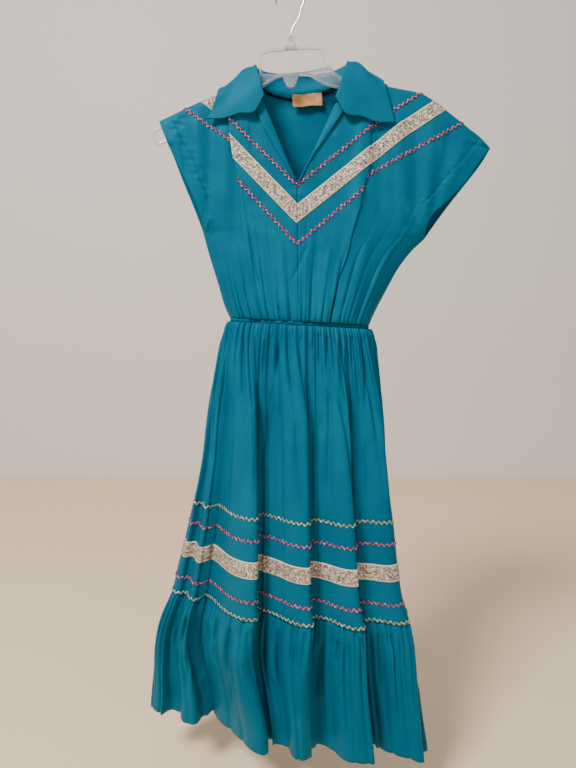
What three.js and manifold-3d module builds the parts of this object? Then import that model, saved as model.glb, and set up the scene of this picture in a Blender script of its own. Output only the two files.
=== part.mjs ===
// A fiesta dress that hangs on a moulded clothes hanger: V neck, wing collar, cut-on cap sleeves,
// gathered skirt tier, flounce, and rows of ric-rac and brocade band.
// Millimetres, +Z up. The front faces -Y and +X is the viewer's right. The origin is the inner
// crown of the hook, the point that a rail carries.
//
// Every cloth piece is a wall round a grid of points on its middle surface. The grids come from
// named sizes and short tables: a row for each level of the skirt, each big fold, each pleat stop,
// each station of the collar.

import * as THREE from 'three';
import Module from 'manifold-3d';
import { mergeVertices } from 'three/addons/utils/BufferGeometryUtils.js';

const wasm = await Module();
wasm.setup();

// ---------- driving dimensions ----------
const CLOTH = 1.2; // wall of one ply of dress cotton
const COLLAR_WALL = 1.8; // collar: two plies
const TRIM_WALL = 1.0; // ric-rac and brocade band
const TRIM_LIFT = 0.75; // air under a trim, so that it clears the facets below it
const SEAM = 0.3; // gap between pieces that are sewn together

const WAIST_Z = -519; // middle of the waist seam
const WAIST_HALF_HEIGHT = 2.6;
const WAIST_HALF_THICKNESS = 3.4;
const TIER_Z = -990; // seam between the skirt tier and the flounce
const HEM_Z = -1225;
const SIDE_TILT = -0.055; // the rows run down to the right by this much for each mm across

const GATHERS = 56; // small gathers round the waist, and again round the top of the flounce
const COLUMNS = 2 * GATHERS; // one column on each crest and each valley
const GATHER_DEPTH = 2.3; // half of the depth of a waist gather
const GATHER_FADE = 120; // height over which the waist gathers die out
const FLOUNCE_GATHER_DEPTH = 2.6;
const FLOUNCE_GATHER_FADE = 60;
const FLOUNCE_SET_BACK = 3.4; // the flounce is sewn behind the tier's lower edge
const FLOUNCE_WAVE_DEPTH = 5.5; // half of the depth of the flounce's own waves at the hem

const DEG = Math.PI / 180;

// ---------- tables ----------
// The skirt's closed sections: centre, half width, depth before and behind the centre, turn.
const SKIRT_LEVELS = [
  { z: -520, centreX: 15, centreY: -2, half: 113, front: 50, back: 46, turn: 3 },
  { z: -579, centreX: 13, centreY: -4, half: 125, front: 56, back: 50, turn: 4 },
  { z: -646, centreX: 11, centreY: -6, half: 137, front: 60, back: 52, turn: 5 },
  { z: -747, centreX: 7, centreY: -8, half: 150, front: 64, back: 54, turn: 6.5 },
  { z: -842, centreX: 1.5, centreY: -10, half: 166.5, front: 66, back: 56, turn: 8 },
  { z: -944, centreX: -5, centreY: -10, half: 186, front: 66, back: 58, turn: 9 },
  { z: -990, centreX: -4, centreY: -10, half: 199, front: 66, back: 60, turn: 9.5 },
  { z: -1085, centreX: -14, centreY: -6, half: 223, front: 60, back: 62, turn: 10.5 },
  { z: -1225, centreX: -13, centreY: -2, half: 243, front: 56, back: 66, turn: 11.5 },
];

// The big folds: each row is a valley, then the lobe up to the next row. Angles are in degrees
// round the section, at the waist, at the tier's seam and at the hem: 0 is the right side, 90 the
// front, 180 the left side, 270 the back. columns = columns of cloth in the lobe, depth = half
// depth over the lobe's width, lean = how far the lobe's crest leans back over the valley, as a
// share of its width, inset = how far the valley is drawn in at the hem, mm.
const BIG_FOLDS = [
  { waist: 9, tier: 4, hem: 4, columns: 10, depth: 0.16, lean: 0.36, inset: 0 },
  { waist: 49.5, tier: 47, hem: 45.5, columns: 9, depth: 0.2, lean: 0.5, inset: 20 },
  { waist: 78, tier: 73.5, hem: 74.5, columns: 9, depth: 0.18, lean: 0.56, inset: 6 },
  { waist: 113, tier: 99.5, hem: 91.5, columns: 10, depth: 0.2, lean: 0.62, inset: 0 },
  { waist: 152, tier: 137, hem: 125, columns: 4, depth: 0.17, lean: 0.4, inset: 24 },
  { waist: 163, tier: 149, hem: 144, columns: 9, depth: 0.15, lean: 0.3, inset: 10 },
  { waist: 189, tier: 187, hem: 186, columns: 8, depth: 0.16, lean: -0.1, inset: 0 },
  { waist: 216, tier: 219, hem: 221, columns: 9, depth: 0.18, lean: -0.2, inset: 8 },
  { waist: 243, tier: 247, hem: 244, columns: 8, depth: 0.15, lean: 0.14, inset: 0 },
  { waist: 270, tier: 271, hem: 274, columns: 10, depth: 0.19, lean: -0.16, inset: 14 },
  { waist: 297, tier: 299, hem: 301, columns: 8, depth: 0.16, lean: 0.2, inset: 0 },
  { waist: 322, tier: 326, hem: 327, columns: 8, depth: 0.17, lean: -0.12, inset: 8 },
  { waist: 340, tier: 336, hem: 336, columns: 10, depth: 0.14, lean: 0.1, inset: 0 },
];

// Ric-rac and brocade round the skirt: middle height and width.
const SKIRT_TRIMS = [
  { name: 'skirt_ricrac_gold_upper', z: -825, width: 7, finish: 'gold' },
  { name: 'skirt_ricrac_pink_upper', z: -860, width: 7, finish: 'pink' },
  { name: 'skirt_brocade', z: -906, width: 27, finish: 'brocade' },
  { name: 'skirt_ricrac_pink_lower', z: -957, width: 7, finish: 'pink' },
  { name: 'skirt_ricrac_gold_lower', z: -985, width: 7, finish: 'gold' },
];

/** Lower edge of the bodice at x, just above the waist seam. */
const waistTop = (x) => (
  WAIST_Z + WAIST_HALF_HEIGHT + SEAM + SIDE_TILT * (x - SKIRT_LEVELS[0].centreX));

// The bodice's outline from the front, each line from the waist upwards.
const LEFT_SIDE = [
  { x: -98, z: waistTop(-98) }, { x: -107, z: -489 }, { x: -116, z: -457 }, { x: -130, z: -410 },
  { x: -140, z: -372 },
];
const LEFT_CUFF = [
  { x: -140, z: -372 }, { x: -158, z: -326 }, { x: -174, z: -287 }, { x: -190, z: -244 },
  { x: -206, z: -202 },
];
const LEFT_SHOULDER = [
  { x: -206, z: -202 }, { x: -157, z: -180 }, { x: -118, z: -165 }, { x: -83, z: -150 },
  { x: -56, z: -130 },
];
const LEFT_NECK = [{ x: -56, z: -130 }, { x: -44, z: -173 }, { x: -5, z: -268 }, { x: 11, z: -302 }];
const RIGHT_SIDE = [
  { x: 128, z: waistTop(128) }, { x: 137, z: -501 }, { x: 154, z: -468 }, { x: 173, z: -433 },
  { x: 194, z: -405 }, { x: 216, z: -384 },
];
const RIGHT_CUFF = [
  { x: 216, z: -384 }, { x: 253, z: -334 }, { x: 290, z: -287 }, { x: 308, z: -262 }, { x: 318, z: -243 },
];
const RIGHT_SHOULDER = [
  { x: 318, z: -243 }, { x: 301, z: -226 }, { x: 283, z: -213 }, { x: 252, z: -191 }, { x: 218, z: -168 },
  { x: 204, z: -161 }, { x: 139, z: -147 }, { x: 92, z: -124 },
];
const RIGHT_NECK = [{ x: 92, z: -124 }, { x: 73, z: -178 }, { x: 19, z: -290 }, { x: 11, z: -302 }];
const BACK_NECK = [
  { x: -56, z: -130 }, { x: -40, z: -152 }, { x: 13, z: -163 }, { x: 72, z: -148 }, { x: 92, z: -124 },
];
const CENTRE_FRONT = [{ x: 13, z: waistTop(13) }, { x: 11, z: -302 }];

// How far the bodice stands out from the middle plane, before and behind, and how round its
// section is: 0.5 is an ellipse, 1 a lens.
const BODICE_DEPTHS = [
  { z: -520, front: 50, back: 46, power: 0.5 },
  { z: -450, front: 43, back: 39, power: 0.6 },
  { z: -384, front: 36, back: 31, power: 0.75 },
  { z: -300, front: 31, back: 26, power: 0.85 },
  { z: -240, front: 27, back: 24, power: 0.85 },
  { z: -180, front: 22, back: 24, power: 0.8 },
  { z: -120, front: 18, back: 22, power: 0.7 },
];
const CUFF_HALF_GAP = 10; // half of the widest opening of a cuff
const ARM_HALF_DEPTH = 5; // the hanger's arms hold the cloth open by this at the shoulders
const HANGER_REACH_Z = -240; // and down to here
const SHOULDER_ROUND = { neck: 17, tip: 9 }; // radius of the cloth over the hanger's arms
const BODICE_GATHER_DEPTH = 1.7;
const BODICE_GATHER_SHARE = 0.2; // the gathers reach this share of the way up

// Pleats in the front halves. u runs from the centre front, 0, to the side, 1, and v from the
// waist, 0, to the shoulder, 1. hidden = how far the cloth runs back under the fold edge, mm.
const KNIFE_PLEAT = [
  { v: 0, u: 0.46, hidden: 3 },
  { v: 0.35, u: 0.5, hidden: 9 },
  { v: 0.6, u: 0.54, hidden: 20 },
  { v: 0.8, u: 0.55, hidden: 30 },
  { v: 1, u: 0.53, hidden: 33 },
];
const SMALL_TUCK = [
  { v: 0, u: 0.26, hidden: 2.5 },
  { v: 0.13, u: 0.335, hidden: 2.5 },
  { v: 0.27, u: 0.43, hidden: 3 },
  { v: 0.45, u: 0.47, hidden: 4 },
  { v: 0.62, u: 0.515, hidden: 5 },
  { v: 0.8, u: 0.485, hidden: 7 },
  { v: 1, u: 0.53, hidden: 8.5 },
];
const PLY_STEP = 1.6; // from one ply of a pleat to the next

// Trims on the bodice. The middle line of each rises from its apex at the centre front, by the
// slope of that side. Past the pleat or tuck it runs on over the sleeve on a line of its own.
// backFrom = where the run on the back starts, under the collar. jump = the right run stops at
// the tuck and goes on beyond it, set off; the others bend at rightSleeve.x and cross the tuck.
const BODICE_TRIMS = [
  {
    name: 'ricrac_pink_upper',
    finish: 'pink',
    width: 6,
    apexZ: -307,
    slopes: { left: 0.98, right: 0.78, backLeft: 1.35, backRight: 0.74 },
    rightSleeve: { x: 152, z: -197, slope: 0.64 },
    backFrom: -86,
  },
  {
    name: 'brocade',
    finish: 'brocade',
    width: 22,
    apexZ: -350,
    slopes: { left: 1.02, right: 0.79, backLeft: 1.35, backRight: 0.76 },
    leftSleeve: { x: -124, z: -174, slope: 0.8 },
    rightSleeve: { x: 180, z: -217, slope: 0.66 },
  },
  {
    name: 'ricrac_pink_lower',
    finish: 'pink',
    width: 6,
    apexZ: -397,
    slopes: { left: 1.08, right: 0.83, backLeft: 1.25, backRight: 0.78 },
    leftSleeve: { x: -128, z: -212, slope: 0.72 },
    rightSleeve: { x: 195, z: -249, slope: 0.56 },
    jump: true,
  },
];
const APEX_X = 11;
const BEYOND = 400; // further than the cloth reaches, each way

// Collar stations round the neck, from the left front end round the back to the right front end.
// seam = where the stand is sewn inside the neck, fold = its top, edge = the place on the cloth
// below the fall's outer edge. dips = how far the fall bows down at FALL_SHARES of its way there.
// side is -1 on the front, 0 on the shoulder, 1 on the back.
const COLLAR = [
  { seam: [-38, -17, -177], fold: [-40, -29, -174], edge: [-127, -206], dips: [19, 12, 10], side: -1 },
  { seam: [-44, -15, -160], fold: [-46, -26, -151], edge: [-119, -192], dips: [4, 6, 5], side: -1 },
  { seam: [-49, -8, -139], fold: [-52, -13, -126], edge: [-112, -174], dips: [1, 2, 2], side: -1 },
  { seam: [-50, -4, -134], fold: [-53, -7, -121], edge: [-108, -165], dips: [0, 0, 0], side: -1 },
  { seam: [-50, 0, -132], fold: [-54, 0, -117], edge: [-104, -160], dips: [0, 0, 0], side: 0 },
  { seam: [-49, 5, -136], fold: [-53, 7, -116], edge: [-101, -164], dips: [0, 0, 0], side: 1 },
  { seam: [-48, 9, -139], fold: [-52, 12, -116], edge: [-99, -172], dips: [0, 0, 0], side: 1 },
  { seam: [-46, 12, -142], fold: [-50, 16, -117], edge: [-94, -186], dips: [0, 0, 0], side: 1 },
  { seam: [-27, 17, -154], fold: [-32, 25, -119], edge: [-56, -206], dips: [0, 0, 0], side: 1 },
  { seam: [13, 19, -160], fold: [13, 30, -121], edge: [13, -212], dips: [0, 0, 0], side: 1 },
  { seam: [55, 17, -150], fold: [61, 25, -119], edge: [84, -203], dips: [0, 0, 0], side: 1 },
  { seam: [83, 10, -137], fold: [87, 14, -113], edge: [130, -174], dips: [0, 0, 0], side: 1 },
  { seam: [85, 5, -132], fold: [89, 7, -112], edge: [134, -152], dips: [0, 0, 0], side: 1 },
  { seam: [86, 0, -129], fold: [90, 0, -112], edge: [138, -146], dips: [0, 0, 0], side: 0 },
  { seam: [86, -4, -131], fold: [89, -7, -115], edge: [142, -156], dips: [0, 0, 0], side: -1 },
  { seam: [85, -8, -135], fold: [88, -13, -120], edge: [148, -168], dips: [1, 2, 2], side: -1 },
  { seam: [76, -15, -160], fold: [79, -26, -149], edge: [155, -190], dips: [4, 6, 5], side: -1 },
  { seam: [67, -17, -182], fold: [70, -29, -177], edge: [161, -212], dips: [19, 13, 11], side: -1 },
];
const FALL_SHARES = [0.16, 0.42, 0.7, 1]; // of the way from the fold to the fall's edge
const COLLAR_CLEAR = { front: 7.3, back: 6 }; // from the cloth's middle to the fall's middle
const COLLAR_ROLL = 4.2; // and this much more near the fold

// The facing turned out along the V as lapels: width at the collar and at the apex, lift off the
// cloth, and the step, in rows, by which the width is searched.
const LAPEL = { wide: 15, narrow: 3.5, wall: 1, lift: 0.5, bulge: 1.2, search: 0.02 };

const LABEL = { x: 28, z: -164, width: 49, height: 20, wall: 0.6, inside: 8.5 };

// The hanger's body from the front. The rib runs over these points and back. The ring in its
// middle is open, and a bar crosses below the opening.
const HANGER_TOP = [
  { x: -211, z: -215 }, { x: -157, z: -189 }, { x: -118, z: -173 }, { x: -83, z: -157 }, { x: -62, z: -146 },
  { x: -52, z: -142 }, { x: -46, z: -138 }, { x: -45, z: -106 }, { x: -39, z: -98 }, { x: -21, z: -95 },
  { x: 21, z: -92 }, { x: 43, z: -92 }, { x: 50, z: -96 }, { x: 56, z: -108 }, { x: 62, z: -121 },
  { x: 71, z: -131 }, { x: 85, z: -138 }, { x: 100, z: -142 }, { x: 139, z: -155 }, { x: 204, z: -176 },
  { x: 238, z: -191 },
];
const HANGER_BOTTOM = [
  { x: 240, z: -203 }, { x: 200, z: -194 }, { x: 140, z: -174 }, { x: 108, z: -160 }, { x: 81, z: -151 },
  { x: 61, z: -147 }, { x: 43, z: -138 }, { x: 30, z: -132 }, { x: 8, z: -132 }, { x: -15, z: -133 },
  { x: -31, z: -140 }, { x: -46, z: -151 }, { x: -84, z: -174 }, { x: -120, z: -194 }, { x: -165, z: -214 },
  { x: -206, z: -236 }, { x: -215, z: -228 },
];
const HANGER_OPENING = [
  { x: -41, z: -129 }, { x: -41, z: -106 }, { x: -36, z: -102 }, { x: -18, z: -98 }, { x: 20, z: -96 },
  { x: 42, z: -96 }, { x: 47, z: -101 }, { x: 56, z: -119 }, { x: 30, z: -126 }, { x: 7, z: -128 },
  { x: -21, z: -130 },
];
const HANGER_BAR = [
  { x: -45, z: -132 }, { x: -21, z: -132 }, { x: 7, z: -130 }, { x: 30, z: -128 }, { x: 62, z: -121 },
];
const BAR = 1.8; // radius of the bar
const CLIP = { x: 1, top: -133, bottom: -151, topWidth: 24, bottomWidth: 9, depth: 6 };
const RIB = 2.4; // radius of the rib round the hanger's edge
const WEB = 1.6; // thickness of the plate inside the rib
const BOSS = { x: 2, top: -76, bottom: -94, topWidth: 7, bottomWidth: 20, depth: 9 };

// The hook: inner radius, wire radius, the angles where its arc joins the shank and ends, and the
// shank's places from the boss up.
const HOOK = { inner: 20, wire: 1.6, joins: -36, tip: 205 };
const SHANK = [
  { x: 2, z: -72 }, { x: 4, z: -64 }, { x: 7.5, z: -57.5 }, { x: 12.8, z: -49.3 }, { x: 16, z: -41 },
];

// ---------- small helpers ----------
const lerp = (a, b, t) => a + (b - a) * t;
const clamp = (x, lo, hi) => Math.min(hi, Math.max(lo, x));
const smooth = (t) => {
  const s = clamp(t, 0, 1);
  return s * s * (3 - 2 * s);
};
const vec = (x, y, z) => new THREE.Vector3(x, y, z);

/** Read column `key` of a table at `at`, its rows ordered by column `by`, along a smooth curve. */
function read(table, by, key, at) {
  const up = table[table.length - 1][by] > table[0][by] ? 1 : -1;
  let i = 0;
  while (i < table.length - 2 && up * (at - table[i + 1][by]) > 0) i += 1;
  const slope = (k) => {
    const a = table[Math.max(k - 1, 0)];
    const b = table[Math.min(k + 1, table.length - 1)];
    return (b[key] - a[key]) / (b[by] - a[by]);
  };
  const [p, q] = [table[i], table[i + 1]];
  const span = q[by] - p[by];
  const t = clamp((at - p[by]) / span, 0, 1);
  const [t2, t3] = [t * t, t * t * t];
  return (2 * t3 - 3 * t2 + 1) * p[key] + (t3 - 2 * t2 + t) * span * slope(i)
    + (3 * t2 - 2 * t3) * q[key] + (t3 - t2) * span * slope(i + 1);
}

/** Point at share t of the way along a broken line of {x, z} points, measured by length. */
function along(line, t) {
  const lengths = line.slice(1).map((p, i) => Math.hypot(p.x - line[i].x, p.z - line[i].z));
  const whole = lengths.reduce((a, b) => a + b, 0);
  let rest = clamp(t, 0, 1) * whole;
  let i = 0;
  while (i < lengths.length - 1 && rest > lengths[i]) {
    rest -= lengths[i];
    i += 1;
  }
  const s = clamp(rest / lengths[i], 0, 1);
  return { x: lerp(line[i].x, line[i + 1].x, s), z: lerp(line[i].z, line[i + 1].z, s) };
}

/** Unit normals of a grid of points, from each point's neighbours. side turns them over. */
function gridNormals(grid, { ring = false, side = 1 } = {}) {
  const rows = grid.length;
  const cols = grid[0].length;
  return grid.map((row, r) => row.map((_, c) => {
    const left = ring ? row[(c + cols - 1) % cols] : row[Math.max(c - 1, 0)];
    const right = ring ? row[(c + 1) % cols] : row[Math.min(c + 1, cols - 1)];
    const below = grid[Math.max(r - 1, 0)][c];
    const above = grid[Math.min(r + 1, rows - 1)][c];
    const across = right.clone().sub(left);
    const up = above.clone().sub(below);
    return across.cross(up).normalize().multiplyScalar(side);
  }));
}

/** The grid moved by `distance` along its normals. */
const moved = (grid, normals, distance) => grid.map((row, r) => row.map((p, c) => (
  p.clone().addScaledVector(normals[r][c], distance))));

/** Volume inside a closed triangle mesh, negative when its faces point in. */
function signedVolume(positions, index) {
  let six = 0;
  const [a, b, c] = [new THREE.Vector3(), new THREE.Vector3(), new THREE.Vector3()];
  for (let i = 0; i < index.length; i += 3) {
    a.fromArray(positions, 3 * index[i]);
    b.fromArray(positions, 3 * index[i + 1]);
    c.fromArray(positions, 3 * index[i + 2]);
    six += a.dot(b.cross(c));
  }
  return six / 6;
}

/** A closed body from points and triangles, turned so that its faces point out. */
function body(points, triangles) {
  const positions = points.flatMap((p) => [p.x, p.y, p.z]);
  const index = triangles.flat();
  if (signedVolume(positions, index) < 0) {
    for (let i = 0; i < index.length; i += 3) [index[i + 1], index[i + 2]] = [index[i + 2], index[i + 1]];
  }
  const geometry = new THREE.BufferGeometry();
  geometry.setAttribute('position', new THREE.Float32BufferAttribute(positions, 3));
  geometry.setIndex(index);
  return geometry;
}

/** The wall between two grids of the same size: both faces and the edges that close it. */
function wallBetween(outer, inner, ring = false) {
  const rows = outer.length;
  const cols = outer[0].length;
  const points = [...outer.flat(), ...inner.flat()];
  const o = (r, c) => r * cols + (c % cols);
  const i = (r, c) => rows * cols + o(r, c);
  const triangles = [];
  const quad = (a, b, c, d) => triangles.push([a, b, c], [a, c, d]);
  const lastCol = ring ? cols : cols - 1;
  for (let r = 0; r < rows - 1; r += 1) {
    for (let c = 0; c < lastCol; c += 1) {
      quad(o(r, c), o(r, c + 1), o(r + 1, c + 1), o(r + 1, c));
      quad(i(r, c), i(r + 1, c), i(r + 1, c + 1), i(r, c + 1));
    }
  }
  for (let c = 0; c < lastCol; c += 1) {
    quad(o(0, c), i(0, c), i(0, c + 1), o(0, c + 1));
    quad(o(rows - 1, c), o(rows - 1, c + 1), i(rows - 1, c + 1), i(rows - 1, c));
  }
  if (!ring) {
    for (let r = 0; r < rows - 1; r += 1) {
      quad(o(r, 0), o(r + 1, 0), i(r + 1, 0), i(r, 0));
      quad(o(r, cols - 1), i(r, cols - 1), i(r + 1, cols - 1), o(r + 1, cols - 1));
    }
  }
  return body(points, triangles);
}

/** A tube or bar: one closed outline for each station, with flat ends unless the path is a ring. */
function sweep(outlines, ring = false) {
  const sides = outlines[0].length;
  const points = outlines.flat();
  const at = (k, s) => (k % outlines.length) * sides + (s % sides);
  const triangles = [];
  const spans = ring ? outlines.length : outlines.length - 1;
  for (let k = 0; k < spans; k += 1) {
    for (let s = 0; s < sides; s += 1) {
      triangles.push([at(k, s), at(k + 1, s), at(k + 1, s + 1)], [at(k, s), at(k + 1, s + 1), at(k, s + 1)]);
    }
  }
  if (!ring) {
    for (let s = 1; s < sides - 1; s += 1) {
      triangles.push([at(0, 0), at(0, s), at(0, s + 1)]);
      triangles.push([at(spans, 0), at(spans, s + 1), at(spans, s)]);
    }
  }
  return body(points, triangles);
}

/** Round wire of the given radius along points in the XZ plane. */
function wire(path, radius, { sides = 8, ring = false } = {}) {
  const n = path.length;
  const outlines = path.map((p, k) => {
    const before = ring ? path[(k + n - 1) % n] : path[Math.max(k - 1, 0)];
    const after = ring ? path[(k + 1) % n] : path[Math.min(k + 1, n - 1)];
    const run = after.clone().sub(before).normalize();
    const out = vec(-run.z, 0, run.x);
    return Array.from({ length: sides }, (_, s) => {
      const turn = (2 * Math.PI * (s + 0.5)) / sides;
      return p.clone().addScaledVector(out, radius * Math.cos(turn)).add(vec(0, radius * Math.sin(turn), 0));
    });
  });
  return sweep(outlines, ring);
}

/** A flat body with the outline of {x, z} points, half of its depth each side of the XZ plane. */
function slab(outline, depth) {
  const shape = new THREE.Shape(outline.map(({ x, z }) => new THREE.Vector2(x, z)));
  const geometry = new THREE.ExtrudeGeometry(shape, { depth, bevelEnabled: false });
  geometry.rotateX(Math.PI / 2);
  geometry.translate(0, depth / 2, 0);
  return geometry;
}

function solidOf(geometry) {
  const bare = geometry.clone();
  bare.deleteAttribute('normal');
  bare.deleteAttribute('uv');
  const merged = mergeVertices(bare);
  return new wasm.Manifold(new wasm.Mesh({
    numProp: 3,
    vertProperties: new Float32Array(merged.attributes.position.array),
    triVerts: new Uint32Array(merged.index.array),
  }));
}

function geometryOf(solid) {
  const mesh = solid.getMesh();
  const geometry = new THREE.BufferGeometry();
  geometry.setAttribute('position', new THREE.Float32BufferAttribute(mesh.vertProperties, 3));
  geometry.setIndex(Array.from(mesh.triVerts));
  return geometry;
}
const together = (geometries) => geometries.map(solidOf).reduce((sum, next) => sum.add(next));

/** One body from several closed bodies that overlap. */
const joined = (geometries) => geometryOf(together(geometries));

/** The part of a body that lies in any of the bars. */
const cut = (geometry, bars) => geometryOf(solidOf(geometry).intersect(together(bars)));

// ---------- materials ----------
const finish = (color, roughness, metalness = 0, more = {}) => (
  new THREE.MeshStandardMaterial({ color, roughness, metalness, ...more }));
const FINISHES = {
  cotton: finish('#0b7391', 0.6),
  pink: finish('#c0476a', 0.6),
  gold: finish('#b59a55', 0.45, 0.4),
  brocade: finish('#c9b183', 0.5, 0.3),
  label: finish('#b98a55', 0.8),
  hanger: finish('#dfe6e6', 0.1, 0, { transparent: true, opacity: 0.5 }),
  metal: finish('#b9bcc0', 0.25, 1),
};

const dress = new THREE.Group();
function place(name, geometry, finishName) {
  const mesh = new THREE.Mesh(geometry, FINISHES[finishName]);
  mesh.name = name;
  dress.add(mesh);
}

// ---------- skirt ----------
const foldStarts = BIG_FOLDS.reduce(
  (starts, fold) => [...starts, starts[starts.length - 1] + fold.columns],
  [0],
);

/** Centre, sizes and turn of the skirt's section at height z. */
function skirtLevel(z) {
  const level = {};
  for (const key of ['centreX', 'centreY', 'half', 'front', 'back', 'turn']) {
    level[key] = read(SKIRT_LEVELS, 'z', key, z);
  }
  return level;
}

/** Angle of a valley at height z: from the waist to the tier's seam, and on to the hem. */
function valleyAngle(fold, z) {
  const upper = lerp(fold.waist, fold.tier, smooth((WAIST_Z - z) / (WAIST_Z - TIER_Z)));
  return upper + (fold.hem - fold.tier) * smooth((TIER_Z - z) / (TIER_Z - HEM_Z));
}

/** The skirt's middle surface at column j, a real number from 0 to COLUMNS, and height z.
 *  The section is an ellipse; on it stand the big folds, each a wave from valley to valley,
 *  pushed along the section by its lean. extra moves the point out along the ellipse's normal. */
function skirtPoint(j, z, extra = 0) {
  const around = ((j % COLUMNS) + COLUMNS) % COLUMNS;
  let k = 0;
  while (foldStarts[k + 1] <= around) k += 1;
  const fold = BIG_FOLDS[k];
  const next = BIG_FOLDS[(k + 1) % BIG_FOLDS.length];
  const share = (around - foldStarts[k]) / fold.columns;
  const fall = smooth((WAIST_Z - z) / (WAIST_Z - TIER_Z));
  const from = valleyAngle(fold, z);
  const to = valleyAngle(next, z) + (k === BIG_FOLDS.length - 1 ? 360 : 0);
  const level = skirtLevel(z);
  const middle = ((from + to) / 2) * DEG;
  const depthAt = (angle) => (Math.sin(angle) > 0 ? level.front : level.back);
  const run = Math.hypot(level.half * Math.sin(middle), depthAt(middle) * Math.cos(middle));
  const width = (to - from) * DEG * run;
  const grow = smooth((WAIST_Z - z) / 160) * (0.75 + 0.25 * fall);
  const phase = 2 * Math.PI * share;
  const crest = (1 - Math.cos(phase)) / 2;
  const slide = (0.035 * Math.sin(2 * phase) - fold.lean * crest * 0.6) * grow;
  const angle = (lerp(from, to, share + slide)) * DEG;
  const b = depthAt(angle);
  const out = new THREE.Vector2(b * Math.cos(angle), level.half * Math.sin(angle)).normalize();
  const inset = lerp(fold.inset, next.inset, share) * smooth((TIER_Z - z) / (TIER_Z - HEM_Z));
  const rise = (2 * crest - 1) * fold.depth * width * grow - inset + extra;
  const x = level.half * Math.cos(angle) + out.x * rise;
  const y = -b * Math.sin(angle) - out.y * rise;
  const turn = -level.turn * DEG;
  const px = level.centreX + x * Math.cos(turn) - y * Math.sin(turn);
  const py = level.centreY + x * Math.sin(turn) + y * Math.cos(turn);
  return vec(px, py, z + SIDE_TILT * (px - level.centreX));
}

/** Half depth of the gathers of the skirt tier at height z: deep at the waist, dying out below. */
const tierGather = (z) => GATHER_DEPTH * Math.exp(-(((WAIST_Z - z) / GATHER_FADE) ** 2));

const tierPoint = (j, z) => skirtPoint(j, z, tierGather(z) * Math.cos(Math.PI * j));

/** The flounce's middle surface: the skirt's surface with gathers that merge in pairs into waves
 *  towards the hem. */
function flouncePoint(j, z) {
  const down = TIER_Z - z;
  const near = Math.exp(-((down / FLOUNCE_GATHER_FADE) ** 2));
  const gather = near * (FLOUNCE_GATHER_DEPTH * Math.cos(Math.PI * j) - FLOUNCE_SET_BACK);
  const wave = FLOUNCE_WAVE_DEPTH * smooth(down / (TIER_Z - HEM_Z)) * Math.sin((Math.PI * j) / 2 + 0.8);
  return skirtPoint(j, z, gather + wave);
}

/** Two panels from a closed ring of cloth, parted at two side seams. */
function ringPanels(grid, seams, thickness) {
  const normals = gridNormals(grid, { ring: true });
  const cols = grid[0].length;
  return [[seams[0], seams[1]], [seams[1], seams[0] + cols]].map(([from, to]) => {
    const count = to - from + 1;
    const faces = [thickness / 2, -thickness / 2].map((distance) => grid.map((row, r) => (
      Array.from({ length: count }, (_, n) => {
        const c = (from + n) % cols;
        const p = row[c].clone().addScaledVector(normals[r][c], distance);
        if (n > 0 && n < count - 1) return p;
        const ahead = row[(c + 1) % cols].clone().sub(row[(c + cols - 1) % cols]).normalize();
        return p.addScaledVector(ahead, n === 0 ? SEAM / 2 : -SEAM / 2);
      }))));
    return wallBetween(faces[0], faces[1]);
  });
}

const ringGrid = (point, levels) => levels.map((z) => (
  Array.from({ length: COLUMNS }, (_, j) => point(j, z))));

const TIER_TOP = WAIST_Z - WAIST_HALF_HEIGHT - SEAM;
const TIER_BOTTOM = TIER_Z + SEAM / 2;
const FLOUNCE_TOP = TIER_Z - SEAM / 2;
const tierLevels = [TIER_TOP, -580, -690, -825, -886, -926, -957, TIER_BOTTOM];
const flounceLevels = [FLOUNCE_TOP, -1035, -1125, HEM_Z];
const sideSeams = [foldStarts[6], (foldStarts[12] + 6) % COLUMNS]; // left, right

const tierGrid = ringGrid(tierPoint, tierLevels);
const [skirtBack, skirtFront] = ringPanels(tierGrid, sideSeams, CLOTH);
place('skirt_front', skirtFront, 'cotton');
place('skirt_back', skirtBack, 'cotton');
const flounceGrid = ringGrid(flouncePoint, flounceLevels);
const [flounceBack, flounceFront] = ringPanels(flounceGrid, sideSeams, CLOTH);
place('flounce_front', flounceFront, 'cotton');
place('flounce_back', flounceBack, 'cotton');

/** A trim sewn round the skirt: the tier's own points moved out. Ric-rac has a ridge in the
 *  middle, so its section is a triangle; the brocade band is flat. */
function skirtTrim({ z, width }) {
  const flat = width > 10;
  const heights = [z + width / 2, z - width / 2];
  const grid = ringGrid(tierPoint, heights);
  const normals = gridNormals(grid, { ring: true });
  const inner = moved(grid, normals, CLOTH / 2 + TRIM_LIFT);
  const outer = moved(grid, normals, CLOTH / 2 + TRIM_LIFT + TRIM_WALL);
  if (flat) return wallBetween(outer, inner, true);
  return sweep(Array.from({ length: COLUMNS }, (_, c) => [
    inner[0][c], inner[1][c], outer[0][c].clone().lerp(outer[1][c], 0.5),
  ]), true);
}
for (const trim of SKIRT_TRIMS) place(trim.name, skirtTrim(trim), trim.finish);

// ---------- waist seam ----------
function waistSeam() {
  const stations = GATHERS;
  return sweep(Array.from({ length: stations }, (_, k) => {
    const middle = skirtPoint((k * COLUMNS) / stations, WAIST_Z);
    const next = skirtPoint(((k + 0.5) * COLUMNS) / stations, WAIST_Z);
    const last = skirtPoint(((k - 0.5) * COLUMNS) / stations, WAIST_Z);
    const run = next.sub(last).setZ(0).normalize();
    const out = vec(-run.y, run.x, 0);
    return [[1, 0], [0, 1], [-1, 0], [0, -1]].map(([outward, up]) => (
      middle.clone().addScaledVector(out, outward * WAIST_HALF_THICKNESS)
        .add(vec(0, 0, up * WAIST_HALF_HEIGHT))));
  }), true);
}
place('waist_seam', waistSeam(), 'cotton');

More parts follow.
